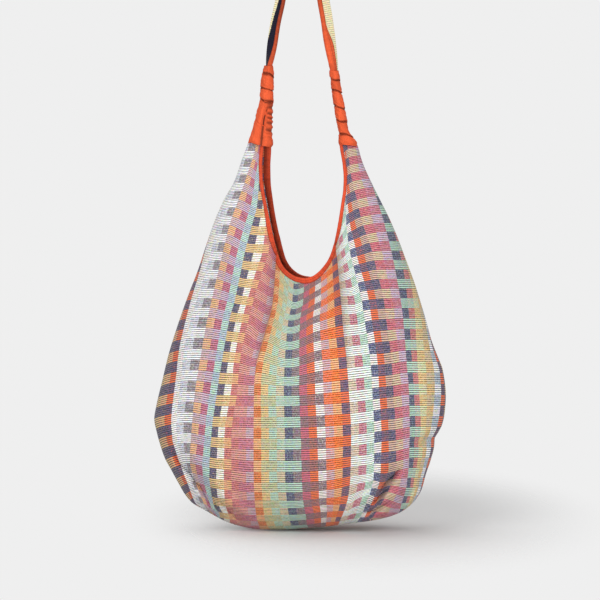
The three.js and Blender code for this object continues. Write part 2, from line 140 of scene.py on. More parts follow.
# Block rows down some of the stripes, by stripe number. Each is photo row: how many row pairs it lies above
# the row pair that starts near row 405.
RIGHT_LEG_ROWS = {
    148: 13, 163: 12, 179: 11, 196.5: 10, 214.5: 9, 232: 8, 251: 7, 269.7: 6, 288.5: 5, 308: 4,
}
BLOCK_ROWS = {
    0: {150: 14, 286: 6, 324: 4, 366: 2, 409: 0, 451: -2, 489: -4, 515: -6},
    6.5: {143: 14, 208: 10, 279: 6, 298: 5, 317: 4, 359: 2, 401: 0, 442: -2, 481: -4, 510: -6},
    10.5: {150: 14, 218: 10, 253: 8, 287: 6, 304: 5, 321.5: 4, 361.5: 2, 405: 0, 446: -2, 487: -4, 505: -5,
           518: -6, 528: -7},
    12.9: {150: 14, 219: 10, 254: 8, 289: 6, 306: 5, 323: 4, 343: 3, 362.5: 2, 405: 0, 447: -2, 489: -4,
           506: -5, 520: -6, 529: -7},
    15.9: {150: 14.5, 262: 8, 297: 6, 315: 5, 333: 4, 350: 3, 366: 2, 384.5: 1, 405: 0, 448: -2, 491: -4,
           506.5: -5, 521: -6, 530: -7},
    16.2: {262: 8, 294: 6, 325: 4, 341: 3, 361: 2, 405: 0, 448: -2, 491: -4, 506.5: -5, 521: -6, 530: -7},
    20.5: {284: 8, 295: 7, 309: 6, 320.5: 5, 333.5: 4, 349.5: 3, 367: 2, 385: 1, 405: 0, 448: -2, 491: -4,
           507: -5, 520: -6, 530: -7},
    24.5: {272: 8, 284: 7, 296: 6, 309: 5, 322.5: 4, 341: 3, 360: 2, 382: 1, 403.5: 0, 447: -2, 489: -4,
           504: -5, 517: -6, 527: -7},
    28.4: {244: 9, 255: 8, 267.5: 7, 281.5: 6, 296: 5, 314: 4, 336: 3, 356: 2, 401: 0, 444: -2, 465: -3,
           483.5: -4, 502.5: -5, 516: -6, 525: -7},
    29.5: {237: 9, 250.5: 8, 264.4: 7, 280: 6, 296: 5, 314: 4, 335: 3, 355: 2, 400: 0, 443: -2, 464: -3,
           481.5: -4, 497: -5, 513: -6, 524: -7},
    30.6: {230: 9, 245.5: 8, 260.5: 7, 276.5: 6, 294: 5, 312: 4, 334: 3, 354: 2, 399: 0, 442: -2, 463: -3,
           480: -4, 494: -5, 512: -6, 523: -7},
    31: {154: 13, 170.5: 12, 188.5: 11, 207: 10, 226: 9, 242.5: 8, 258.5: 7, 274.5: 6, 292: 5, 310.5: 4,
         333: 3, 353.5: 2, 398.5: 0, 441.5: -2, 462: -3, 479: -4, 493.5: -5, 511: -6, 522: -7},
    32.5: {152: 13, 168: 12, 185.5: 11, 203.7: 10, 222: 9, 239: 8, 255.5: 7, 272: 6, 290.3: 5, 309: 4,
           353: 2, 397: 0, 440: -2, 476.5: -3.72, 491.5: -4.72, 508: -5.72, 519: -6.72},
    33.9: {150: 13, 166: 12, 182.5: 11, 200.5: 10, 217.8: 9, 235: 8, 252.3: 7, 270: 6, 289: 5, 308.5: 4,
           352: 2, 396: 0, 439: -2, 474: -3.72, 487.5: -4.72, 500.5: -5.72, 514: -6.72},
    35.9: {**RIGHT_LEG_ROWS, 350: 2, 394: 0, 436.5: -2, 471.5: -3.72, 491: -4.72, 506: -5.72, 515: -6.72},
    36.5: {**RIGHT_LEG_ROWS, 350: 2, 394: 0, 436: -2, 477: -4, 496: -5, 509: -6},
    43: {148: 13, 196.5: 10, 214.5: 9, 232: 8, 251: 7, 269.7: 6, 288.5: 5, 308: 4, 351: 2, 395: 0, 437: -2,
         478: -4, 495: -5, 509: -6},
}

# The neckline's cut edge on the front and the back, photo row: column, and how far the back one stands to
# the right of the front one on the right leg.
NECK_LEFT = {
    128: 264, 145: 262.6, 155: 261.4, 165: 260.8, 180: 261.4, 200: 264.6, 220: 268.8, 240: 273.5, 250: 276,
    260: 279, 268: 283.5, 274: 289.5, 278: 297, 279.5: 305,
}
NECK_RIGHT = {
    128: 339, 150: 341.5, 165: 344, 178: 345, 190: 344.5, 200: 343, 220: 339.7, 240: 335.5, 250: 333,
    260: 329, 268: 323.5, 274: 317.5, 278: 311, 279.5: 305,
}
BACK_NECK_LEFT = {
    128: 270, 150: 269.6, 165: 268.8, 180: 269, 200: 271.2, 220: 274.4, 240: 278.9, 250: 281.4, 260: 284.4,
    268: 288.9, 274: 294.9, 278: 302.4, 279.5: 310.4,
}
BACK_NECK_SHIFT = 5.4
NECK_BOTTOM_ROW = 279.5
NECK_TOP_ROW = 136
# How far in front of the middle the neckline lies, and how much lower the back one is, in metres.
NECK_DEPTH = 0.04
BACK_NECK_DROP = 0.004

# The cloth's stripes from the left side seam: (width in metres, yarn of the block rows, yarn of the rows
# between).
STRIPES = [
    (0.012, "navy", "wheat"), (0.012, "navy", "straw"), (0.014, "navy", "apricot"),
    (0.010, "navy", "vermilion"), (0.009, "pearl", "chalk"), (0.012, "mist", "pearl"),
    (0.010, "slate", "pearl"), (0.009, "apricot", "blush"), (0.010, "magenta", "lilac"),
    (0.010, "aqua", "sky"), (0.010, "navy", "straw"), (0.010, "cream", "straw"), (0.009, "rose", "apricot"),
    (0.011, "shell", "rose"), (0.010, "shell", "orchid"), (0.010, "blush", "orchid"),
    (0.011, "amber", "apricot"), (0.011, "straw", "leaf"), (0.011, "mint", "leaf"),
    (0.011, "wheat", "mint"), (0.011, "navy", "mint"), (0.011, "dove", "mint"),
    (0.011, "raspberry", "mauve"), (0.011, "vermilion", "clay"), (0.012, "chalk", "dove"),
    (0.012, "blush", "coral"), (0.011, "apricot", "tangerine"), (0.010, "plum", "vermilion"),
    (0.011, "sand", "foam"), (0.010, "orchid", "foam"), (0.012, "mint", "foam"), (0.010, "chalk", "indigo"),
    (0.010, "vermilion", "plum"), (0.011, "ochre", "navy"), (0.011, "wheat", "raspberry"),
    (0.010, "lilac", "orchid"), (0.010, "navy", "mint"), (0.009, "rose", "mint"),
    (0.010, "straw", "pistachio"), (0.010, "wheat", "straw"), (0.010, "sky", "pearl"),
    (0.012, "coral", "navy"), (0.012, "navy", "straw"),
]
# The yarns' and strips' colours, as the 0 to 255 values of a paint chart.
YARNS = {
    "chalk": (231, 224, 218), "pearl": (231, 231, 231), "cream": (231, 231, 224), "butter": (226, 214, 172),
    "foam": (222, 230, 225), "mist": (201, 202, 210), "dove": (136, 115, 121), "slate": (146, 136, 141),
    "ochre": (200, 166, 147), "straw": (217, 184, 131), "wheat": (201, 184, 154), "sand": (206, 185, 164),
    "apricot": (223, 174, 129), "amber": (211, 123, 78), "tangerine": (231, 115, 59),
    "coral": (231, 115, 71), "vermilion": (226, 113, 72), "clay": (150, 110, 110), "rose": (197, 120, 120),
    "shell": (209, 151, 140), "orchid": (190, 118, 132), "raspberry": (194, 105, 120),
    "magenta": (186, 109, 128), "blush": (194, 169, 176), "lilac": (190, 172, 188),
    # ink is navy with painted shade, for the strap's left strand.
    "mauve": (138, 115, 119), "plum": (108, 97, 119), "ink": (20, 16, 38), "navy": (94, 92, 118),
    "indigo": (93, 99, 131), "sky": (169, 181, 193), "aqua": (179, 207, 193), "mint": (173, 201, 183),
    "leaf": (186, 185, 147), "pistachio": (205, 210, 171), "binding": (214, 76, 43), "wrap": (230, 93, 50),
}

# How finely a panel is divided: points across a stripe, and rows of points up to the belly, the neckline,
# the mouth's rounding and the tops of the legs.
QUADS_PER_STRIPE = 5
LOW_ROWS, BODY_ROWS, MOUTH_ROWS, LEG_ROWS = 66, 54, 30, 40
MOUTH_ROUNDING = 0.045
ROUND_STEPS = 90
# The line of points under the lowest place of the neckline, where a panel's two halves meet.
NECK_COLUMN = 113
# Points closer than this are one point.
TINY = 1e-6
# Edges blunter than this are shaded smooth.
SMOOTH_ANGLE = math.radians(50)

# The slack cloth below the mouth: the heights between which it sets in, and between which the legs take
# most of it up.
SLACK_RISE = (0.17, 0.33)
SLACK_FALL = (0.36, 0.50)
SLACK_TAKEN_UP = 0.75
SLACK_MIDDLE = 0.003
SLACK_REACH = 0.060
FRONT_SLACK = 0.42
BACK_SLACK = 0.34
# The two long folds beside the slack, photo row: column, the width of their rolls, and how far the cloth
# between them drops.
FOLD_LEFT = {250: 277, 286: 274, 304: 273, 322: 269, 340: 263.5, 358: 258.5, 380: 255.5, 420: 255}
FOLD_RIGHT = {250: 335.5, 282: 339, 305: 341, 331: 343, 358: 346, 385: 348, 420: 350}
ROLL_LEFT = 0.014
ROLL_RIGHT = 0.012
FRONT_DROP = 0.015
BACK_DROP = 0.006
DROP_RISE = (0.19, 0.31)
DROP_FALL = (0.36, 0.44)
# Creases, as photo places from end to end: (points, depth of the valley, reach to the right and left of it,
# how far the cloth on the right of it lies over the cloth on the left), in metres.
FRONT_CREASES = [
    ([(450, 173.5), (457, 176.5), (464, 181), (474, 191), (482, 196), (488, 202), (496, 206), (505, 211)],
     0.011, 0.009, 0.0035, 0.005),
    ([(493, 212.5), (503, 215.5), (512, 218.5), (521, 226)], 0.010, 0.007, 0.005, 0.003),
    ([(503, 223), (511, 230), (518, 236), (526, 246)], 0.011, 0.006, 0.005, 0.004),
    ([(469, 398), (475, 392.5), (481, 386), (489, 380), (497, 374)], 0.015, 0.0045, 0.009, -0.006),
    ([(485, 390), (494, 380.5), (500, 374.5), (507, 365)], 0.012, 0.0045, 0.006, -0.005),
    ([(502, 386), (507, 378), (510, 373), (513, 361)], 0.014, 0.005, 0.007, -0.005),
    ([(489, 414), (497, 408), (504, 402), (511, 397), (517, 392)], 0.013, 0.0045, 0.007, 0.0),
    ([(433, 441), (437, 435), (441, 428), (448, 419)], 0.008, 0.007, 0.006, 0.002),
    ([(430, 345), (470, 349), (500, 347), (515, 342)], 0.005, 0.009, 0.009, 0.0),
]
# The soft roll beside a crease: its height as a share of the crease's depth, and its distance in reaches.
CREASE_ROLL = 0.4
CREASE_ROLL_AWAY = 2.2
# Soft swells of the cloth. They and the creases set in between these half depths, and the legs pull the
# swells flat.
BROAD_SWELL = 0.0016
FINE_SWELL = 0.0009
LOOSE_DEPTHS = (0.012, 0.055)
TAUT_HEIGHTS = (0.42, 0.52)
SWELL_TAKEN_UP = 0.7

# The neck binding's thickness on each face, its steps along the neckline, and the step over which the
# cloth's slope is measured.
BINDING_LEAF = 0.0011
NECK_STEPS, NECK_SAMPLES = 320, 600
SLOPE_STEP = 0.0008
# Where the neckline's sides begin, in metres across, and how much slimmer the binding is there. On the left
# the back one is wider instead.
LEFT_NECK_SIDE = (-0.053, -0.040)
RIGHT_NECK_SIDE = (0.015, 0.045)
FRONT_LEFT_SLIM = 0.5
BACK_LEFT_SLIM = -0.9
RIGHT_SLIM = 0.35
RIGHT_LEG_SLIM = 0.25
RIGHT_LEG_HEIGHTS = (0.42, 0.47)
# Puckers of a bound edge, and which points of its section they move: those further out than the outer face.
PUCKER = 0.00016
LONG_PUCKER = 0.0001
PUCKER_REACH = 0.005
NECK_OUTER_FACE = 0.0005
STRAP_OUTER_FACE = 0.003
# The lip of the neck binding, from this far on, wavers along the neckline.
WAVER_FROM = 0.004
# The stitches that hold a folded strip: distance from its lip, width and length of one stitch, in metres,
# the share of its length that is left between two of them, and how dark and deep they lie.
STITCH_INSET = 0.0024
STITCH_WIDTH = 0.0005
STITCH_CORE = 0.0001
STITCH_PITCH = 0.0032
STITCH_SPACE = 0.22
STITCH_SHADE = 0.30
STITCH_SINK = 2.0
# The shadow along a folded strip's lip: where it starts and is deepest, short of the lip, and how deep.
LIP_REACH = (0.0019, 0.0006)
LIP_SHADE = 0.45
# Points of a folded strip's section from its lip to its fold.
LIP_TO_FOLD = 10

# The wraps' outlines in the photograph, (row, left column, right column), and their half depth, photo row:
# metres.
LEFT_WRAP = [
    (65, 264.5, 273.3), (72, 262.3, 274), (80, 261, 274), (100, 259.5, 273.5), (110, 257, 273),
    (120, 254.5, 272.6), (130, 252, 272.4), (137, 249.8, 273.0), (142, 248.6, 273.2), (147, 247.5, 271.4),
]
RIGHT_WRAP = [
    (70, 329.2, 338.6), (74, 329.6, 339.3), (80, 330.5, 340), (90, 331.5, 341.7), (100, 333, 343.5),
    (110, 334.5, 345.5), (120, 336, 347.2), (130, 338.3, 348.6), (136, 339, 352.4), (141, 339.3, 355.8),
    (147, 339.6, 357.5),
]
WRAP_DEPTHS = {65: 0.0128, 90: 0.0130, 120: 0.0135, 147: 0.0150}
WRAP_FULLNESS = 2.5
WRAP_PITCH = 0.0172
WRAP_GIRTH = 0.075
WRAP_THICKNESS = 0.0016
WRAP_LEAST = 0.003
WRAP_ROWS, WRAP_COLUMNS = 260, 112
# Where the creases between the turns start on each wrap's left side, photo row: turn.
LEFT_TURNS = {53: -1, 70: 0, 86: 1, 96: 2, 118: 3, 126.5: 3.34, 137: 3.7, 152: 4.2}
RIGHT_TURNS = {60: -2, 77: -1, 88: 0, 104: 1, 118: 2, 131: 3, 152: 4.2}
# Depth of the crack under each turn, and of the cloth's crumples.
CRACK_DEPTH = 0.0016
CRUMPLE = 0.00030
FINE_CRUMPLE = 0.00016
# The shadow where a turn tucks under: between which shares of its half width, and how deep.
TUCKED_SHARES = (0.70, 0.97)
TUCKED_SHADE = 0.70
# The left wrap's gathers: a groove down its front, gathers on the right of it and a knuckle below them.
# Angles are round the wrap from its right side, in radians.
TAUT_LEFT_ANGLE, TAUT_RIGHT_ANGLE, TAUT_REACH = 2.5, 0.7, 0.85
TAUT_ROWS, TAUT_RIGHT_END = (103, 109), (130, 135)
GROOVE_ANGLE, GROOVE_SWING, GROOVE_REACH = 1.54, 0.17, 0.15
GROOVE_ROWS, GROOVE_SWING_ROWS = (102, 108), (107, 118)
GROOVE_DEPTH = 0.0022
GATHER_RISE, GATHER_FALL = (-0.6, -0.1), (1.25, 1.46)
GATHER_TOP, GATHER_END = (101, 107), (131, 137)
GATHER_DEPTH = 0.0008
KNUCKLE_ANGLE, KNUCKLE_REACH = 0.65, 0.70
KNUCKLE_ROW, KNUCKLE_ROWS = 137, 1.3
KNUCKLE_DEPTH = 0.0012
BESIDE_GROOVE_ANGLES, BESIDE_GROOVE_REACH = (2.1, 0.9), 0.4
BESIDE_GROOVE_SWELL = 0.0010
BESIDE_GROOVE_HEIGHTS = (0.57, 0.60)
# The right wrap's lowest turn bulges over these rows.
BULGE = 0.0013
BULGE_TOP, BULGE_ROWS = 133.5, 10.5
# The hem at the lower end of both wraps.
HEM_SWELL, HEM_ABOVE, HEM_REACH = 0.0006, 2.5, 2.0
HEM_LIFT_ANGLE, HEM_LIFT_REACH = 2.7, 0.95
# Each wrap: (node, outline, turns, share of a turn that shows in front, lowest row, lift of its hem,
# gathered).
WRAPS = (
    ("left_wrap", LEFT_WRAP, LEFT_TURNS, 0.42, 145.5, 4.2, True),
    ("right_wrap", RIGHT_WRAP, RIGHT_TURNS, 0.3, 144.5, 0.6, False),
)

# The strap's right half, from inside its wrap to the arc at its top, height: distance from the middle.
STRAP_HALF = {
    0.560: 0.0570, 0.575: 0.0545, 0.602: 0.0500, 0.650: 0.0450, 0.686: 0.0395, 0.714: 0.0357, 0.742: 0.0308,
    0.775: 0.0262, 0.806: 0.0232,
}
STRAP_ARC = 0.016
STRAP_FLAT = 0.007
STRAP_WIDTH = 0.020
STRAP_STEPS, ARC_STEPS, FLAT_STEPS = 170, 15, 6
# Half thickness of the folded band, the radius of its fold, where its raw edges lie, and the bow of each
# leaf.
BAND_LEAF = 0.0019
BAND_FOLD = 0.0022
BAND_EDGE = -0.0092
BAND_BOW = 0.0003
LEAF_POINTS, FOLD_POINTS = 25, 9
# The inside of the folded band, from one raw edge to the fold and back: (across the band, out of its
# middle).
BAND_INSIDE = [
    (BAND_EDGE, -0.0002), (0.004, -0.0002), (0.0076, -0.0005), (0.0080, 0.0), (0.0076, 0.0005),
    (0.004, 0.0002), (BAND_EDGE, 0.0002),
]
# How far the band's middle line stays below the top of the frame's strap.
BAND_RISE = 0.0023
# Where the left strand's stripe of navy with painted shade ends, across the band, height: place.
STRAP_SHADE_EDGE = {0.680: 0.0110, 0.700: 0.0062, 0.720: 0.0040, 0.742: 0.0016, 0.790: 0.0010}
# How far each strand turns to face the front, and between which heights. Both turn back below the strap's
# top.
LEFT_TWIST = (math.radians(65), 0.630, 0.690)
RIGHT_TWIST = (math.radians(55), 0.600, 0.700)
TWIST_FALL = (0.768, 0.816)
# How far the left strand stands further out than the right one, in metres, and how much each turn narrows
# its strand.
LEFT_STRAND_OUT = 0.002
STRAND_OUT_RISE, STRAND_OUT_FALL = (0.610, 0.650), (0.690, 0.750)
LEFT_STRAND_NARROW = 0.32
RIGHT_STRAND_NARROW = 0.12
NARROW_RISE, NARROW_FALL = (0.600, 0.640), (0.768, 0.806)
# The strap's binding: width on each face, room for the band and thickness. It spreads on the right strand's
# lower part.
STRAP_BINDING = (0.0032, 0.0042, 0.0010)
BINDING_OVERHANG = 0.0005
RIGHT_SPREAD = 2.8
SPREAD_HEIGHTS = (0.676, 0.712)
# The painted shade on the strap's binding round its top, reaching further down the left strand: how far its
# middle lies to the left of the strap's, how far from there it starts and stops to fade, and how dark it is.
STRAP_SHADE_LEFT = 0.035
STRAP_SHADE_FADE = (0.075, 0.200)
STRAP_SHADE_DARKEST = 0.45

# Noise in the cloth and the strips: repeats per metre across and along.
THREADS, SLUBS, PATCHES, HUES = (560, 420), (70, 420), (38, 30), (190, 310)
FUZZ, STREAKS, STRIP_PATCHES = (900, 900), (60, 210), (30, 18)
# How strongly the strap's cloth shows its tone noise and painted crevice shade.
STRAP_PAINTED_RELIEF = 0.4

CAMERA_AWAY = 7.0
LAMP_AIM = 0.3
# The lamps: (name, place from the point they aim at, size, power).
LAMPS = (
    ("key_light", (-1.7, -2.4, 1.5), 1.8, 35),
    ("front_light", (0.0, -3.0, 0.05), 2.0, 35),
    ("fill_light", (2.0, -2.2, 0.9), 2.2, 31),
    ("top_light", (-0.2, 0.4, 2.2), 1.8, 22),
)
SURROUND_STRENGTH = 0.42
SURROUND_GREY = (250, 250, 250)
BACKGROUND_GREY = (239, 239, 239)
FLOOR_GREY = (222, 222, 222)
# The floor fades into the background between these distances from a spot behind the bag.
FLOOR_SPOT = (0.10, 0.15, 0)
FLOOR_STRETCH = (1, 0.5, 1)
FLOOR_FADE = (0.12, 0.36)


def colour(red, green, blue):
    """A colour as Blender's light values, from the 0 to 255 values of a paint chart."""
    chart = np.array([red, green, blue]) / 255
    return tuple(np.where(chart > 0.04045, ((chart + 0.055) / 1.055) ** 2.4, chart / 12.92))


def across(column):
    """Metres to the right of the bag's middle, from a photo column."""
    return (np.asarray(column) - PHOTO_MIDDLE) * PIXEL


def photo_row(height, depth=0.0):
    """Photo row of a point at this height that stands this far in front of the bag's middle."""
    return PHOTO_BOTTOM - (height * math.cos(LOOK_DOWN) - depth * math.sin(LOOK_DOWN)) / PIXEL


def smooth(places, values, at):
    """Smooth curve through values set at places, without overshoot and straight beyond its ends."""
    places, values, at = np.asarray(places, float), np.asarray(values, float), np.asarray(at, float)
    steps = np.diff(places)
    rises = np.diff(values, axis=-1) / steps
    before, after = rises[..., :-1], rises[..., 1:]
    agree = before * after > 0
    inner = np.where(agree, 2 * before * after / np.where(agree, before + after, 1), 0)
    slopes = np.concatenate([rises[..., :1], inner, rises[..., -1:]], axis=-1)
    spot = np.clip(np.searchsorted(places, at) - 1, 0, len(steps) - 1)
    step = steps[spot]
    part = np.clip((at - places[spot]) / step, 0, 1)
    beyond = at - places[spot] - part * step
    start, end = values[..., spot], values[..., spot + 1]
    leave, arrive = slopes[..., spot], slopes[..., spot + 1]
    bent = start * ((2 * part - 3) * part**2 + 1) + end * (3 - 2 * part) * part**2
    bent = bent + step * part * (leave * (part - 1) ** 2 + arrive * (part - 1) * part)
    return bent + beyond * np.where(beyond > 0, arrive, leave)


def curve(points, at):
    """Smooth curve through points, place: value."""
    return smooth(list(points), list(points.values()), at)


def ease(low, high, at):
    """Rises smoothly from 0 at low to 1 at high."""
    part = np.clip((at - low) / (high - low), 0, 1)
    return part * part * (3 - 2 * part)


def between(rise, fall, at):
    """Rises smoothly from 0 to 1 over one span and falls back to 0 over another."""
    return ease(*rise, at) * (1 - ease(*fall, at))


def bell(at, middle, reach):
    """1 at the middle, falling away smoothly on both sides."""
    return np.exp(-(((at - middle) / reach) ** 2))


def unit(vectors):
    """Vectors of length one."""
    return vectors / np.linalg.norm(vectors, axis=-1, keepdims=True)


def run_along(points):
    """How far along a line each of its points lies."""
    return np.concatenate([[0], np.cumsum(np.linalg.norm(np.diff(points, axis=0), axis=1))])


def outline(height):
    """Middle and half width of the balloon at a height."""
    row = photo_row(height)
    left, right = across(curve(LEFT_EDGE, row)), across(curve(RIGHT_EDGE, row))
    return (left + right) / 2, np.maximum((right - left) / 2, 1e-5)


def half_depth(height):
    """Half depth of the balloon at a height, before its folds."""
    low = np.clip(height / BELLY_HEIGHT, 0, 1)
    bowl = BELLY_DEPTH * np.sqrt(low * (2 - low))
    return np.where(height < BELLY_HEIGHT, bowl, curve(UPPER_DEPTHS, height))


def crease_shift(crease, x, height, depth):
    """How far a crease pulls the cloth in, with a soft roll beside it."""
    points, deep, reach_right, reach_left, lap = crease
    rows, columns = np.array(points, float).T
    px, py = across(columns), (PHOTO_BOTTOM - rows) * PIXEL
    spot_x, spot_y = x, (PHOTO_BOTTOM - photo_row(height, depth)) * PIXEL
    nearest = np.full(np.shape(x), np.inf)
    side, along = np.zeros(np.shape(x)), np.zeros(np.shape(x))
    for leg in range(len(px) - 1):
        run_x, run_y = px[leg + 1] - px[leg], py[leg + 1] - py[leg]
        length = math.hypot(run_x, run_y)
        part = np.clip(((spot_x - px[leg]) * run_x + (spot_y - py[leg]) * run_y) / length**2, 0, 1)
        off_x, off_y = spot_x - px[leg] - part * run_x, spot_y - py[leg] - part * run_y
        gap = np.hypot(off_x, off_y)
        closer = gap < nearest
        nearest = np.where(closer, gap, nearest)
        side = np.where(closer, off_x * -run_y + off_y * run_x, side)
        along = np.where(closer, (leg + part) / (len(px) - 1), along)
    reach = np.where(side > 0, reach_right, reach_left)
    fade = np.sin(math.pi * np.clip(along * 0.9 + 0.05, 0, 1)) ** 0.6
    pull = np.exp(-nearest / reach) - CREASE_ROLL * bell(nearest, CREASE_ROLL_AWAY * reach, reach)
    return fade * (deep * pull - lap * np.sign(side) * np.exp(-nearest / (2 * reach)))


def panel_depth(x, height, front=True):
    """How far the cloth stands out from the bag's middle plane, folds included."""
    middle, half = outline(height)
    share = np.clip(np.abs((x - middle) / half), 0, 1)
    plain = half_depth(height) * (1 - share**FULLNESS) ** (1 / FULLNESS)
    row = photo_row(height, plain)
    slack = ease(*SLACK_RISE, height) * (1 - SLACK_TAKEN_UP * ease(*SLACK_FALL, height))
    dip = slack * bell(x, SLACK_MIDDLE, SLACK_REACH)
    depth = plain * (1 - (FRONT_SLACK if front else BACK_SLACK) * dip)
    left, right = across(curve(FOLD_LEFT, row)), across(curve(FOLD_RIGHT, row))
    step_left = np.clip((x - left) / ROLL_LEFT + 1, 0, 1)
    step_right = np.clip((right - x) / ROLL_RIGHT + 1, 0, 1)
    sunk = (1 - np.sqrt(1 - step_left**2)) * (1 - np.sqrt(1 - step_right**2))
    depth = depth - (FRONT_DROP if front else BACK_DROP) * between(DROP_RISE, DROP_FALL, height) * sunk
    loose = ease(*LOOSE_DEPTHS, plain)
    if front:
        for crease in FRONT_CREASES:
            depth = depth - loose * crease_shift(crease, x, height, plain)
    swell = np.sin(x * 61 + 1.3) * np.sin(height * 23 + 0.4 + x * 9) * BROAD_SWELL
    swell = swell + np.sin(x * 117 + height * 31 + (0.7 if front else 2.1)) * FINE_SWELL
    return depth + loose * swell * (1 - SWELL_TAKEN_UP * ease(*TAUT_HEIGHTS, height))


def neck_lift(front):
    """How far the camera's tilt and the back's lower cut raise or lower a neckline from its photo rows."""
    return NECK_DEPTH * math.sin(LOOK_DOWN) - (0.0 if front else BACK_NECK_DROP)


def neck_height(row, front):
    """Height of the neckline at a photo row."""
    return (PHOTO_BOTTOM - row) * PIXEL + neck_lift(front)


def neck_columns(row, front):
    """Where the left and right edges of a neckline lie at a photo row, in metres from the bag's middle."""
    if front:
        return across(curve(NECK_LEFT, row)), across(curve(NECK_RIGHT, row))
    return across(curve(BACK_NECK_LEFT, row)), across(curve(NECK_RIGHT, row) + BACK_NECK_SHIFT)


def neck_edges(height, front):
    """Left and right edge of the neckline at a height."""
    return neck_columns(PHOTO_BOTTOM - (height - neck_lift(front)) / PIXEL, front)


def neck_path(front):
    """The neckline from the left leg's top, under the mouth, to the right leg's top, as x, height and run."""
    rows = np.linspace(NECK_TOP_ROW, NECK_BOTTOM_ROW, NECK_SAMPLES)
    left, right = neck_columns(rows, front)
    x = np.concatenate([left, right[-2::-1]])
    height = np.concatenate([neck_height(rows, front), neck_height(rows[-2::-1], front)])
    run = run_along(np.stack([x, height], axis=1))
    even = np.linspace(0, run[-1], NECK_STEPS)
    return np.interp(even, run, x), np.interp(even, run, height), even


def math_step(operation):
    """A method that gives the result of a Math node which starts from a Value."""

    def step(value, *others):
        inputs = dict(enumerate([value, *others]))
        made = value.finish.node("ShaderNodeMath", {"operation": operation}, inputs)
        return Value(value.finish, made.outputs[0])

    return step


class Value:
    """A number socket of a material. Sums on it add Math nodes."""

    def __init__(self, finish, socket):
        self.finish = finish
        self.socket = socket

    __add__ = __radd__ = math_step("ADD")
    __mul__ = __rmul__ = math_step("MULTIPLY")
    __sub__ = math_step("SUBTRACT")
    __truediv__ = math_step("DIVIDE")
    __gt__ = math_step("GREATER_THAN")
    __abs__ = math_step("ABSOLUTE")
    fraction = math_step("FRACT")
    root = math_step("SQRT")
    sine = math_step("SINE")
    at_least = math_step("MAXIMUM")
    at_most = math_step("MINIMUM")

    def __rsub__(self, other):
        made = self.finish.node("ShaderNodeMath", {"operation": "SUBTRACT"}, {0: other, 1: self})
        return Value(self.finish, made.outputs[0])

    def kept(self, low, high):
        """The number itself, kept between low and high."""
        return self.at_least(low).at_most(high)

    def ramp(self, low, high):
        """0 below low, 1 above high and smooth between."""
        inputs = {"Value": self, "From Min": low, "From Max": high}
        made = self.finish.node("ShaderNodeMapRange", {"interpolation_type": "SMOOTHSTEP"}, inputs)
        return Value(self.finish, made.outputs["Result"])


class Finish:
    """A node material under construction."""

    def __init__(self, name):
        self.material = bpy.data.materials.new(name)
        self.material.use_nodes = True
        self.tree = self.material.node_tree
        self.shader = self.tree.nodes["Principled BSDF"]
        self.output = self.tree.nodes["Material Output"]

    def feed(self, socket, value):
        """Links a socket or a Value to an input, or sets the input's own value."""
        value = value.socket if isinstance(value, Value) else value
        if isinstance(value, bpy.types.NodeSocket):
            self.tree.links.new(value, socket)
        elif socket.type == "RGBA" and len(value) == 3:
            socket.default_value = (*value, 1)
        else:
            socket.default_value = value

    def node(self, kind, settings, inputs):
        """Adds any node: its settings first, then the values or links of its sockets."""
        made = self.tree.nodes.new(kind)
        for name, value in settings.items():
            setattr(made, name, value)
        for name, value in inputs.items():
            self.feed(made.inputs[name], value)
        return made

    def surface(self, values):
        """Sets or links inputs of the material's surface."""
        for name, value in values.items():
            self.feed(self.shader.inputs[name], value)

    def mix(self, share, first, second, blend="MIX"):
        """A colour between two colours."""
        settings = {"data_type": "RGBA", "blend_type": blend}
        made = self.node("ShaderNodeMix", settings, {0: share, 6: first, 7: second})
        return made.outputs[2]

    def noise(self, u, v, grain, detail=2.0, shift=None):
        """Soft noise about 0 over the piece's cloth. Its grain is repeats per metre across and along."""
        x, y = u * grain[0], v * grain[1]
        x = x + shift if shift else x
        place = self.node("ShaderNodeCombineXYZ", {}, {"X": x, "Y": y}).outputs[0]
        inputs = {"Vector": place, "Scale": 1.0, "Detail": detail, "Roughness": 0.55}
        made = self.node("ShaderNodeTexNoise", {"noise_dimensions": "2D"}, inputs)
        return Value(self, made.outputs[0]) - 0.5

    def cloth_map(self):
        """Metres across and along the piece's own cloth."""
        spot = self.node("ShaderNodeUVMap", {"uv_map": "cloth"}, {}).outputs["UV"]
        parts = self.node("ShaderNodeSeparateXYZ", {}, {"Vector": spot}).outputs
        return Value(self, parts["X"]), Value(self, parts["Y"])

    def yarn(self, name):
        """A colour stored on the piece's faces."""
        return self.node("ShaderNodeAttribute", {"attribute_name": name}, {}).outputs["Color"]

    def lightness(self, shade):
        """How light a colour is, as a number."""
        return Value(self, self.node("ShaderNodeRGBToBW", {}, {"Color": shade}).outputs["Val"])

    def paint(self, base, shades):
        """Gives the surface a colour, with a shade each for its red, green and blue."""
        tone = self.node("ShaderNodeCombineColor", {}, dict(enumerate(shades))).outputs[0]
        self.surface({"Base Color": self.mix(1.0, base, tone, "MULTIPLY")})

    def bump(self, height, distance, strength):
        """Bends the shading by a height."""
        inputs = {"Height": height, "Distance": distance, "Strength": strength}
        self.surface({"Normal": self.node("ShaderNodeBump", {}, inputs).outputs["Normal"]})


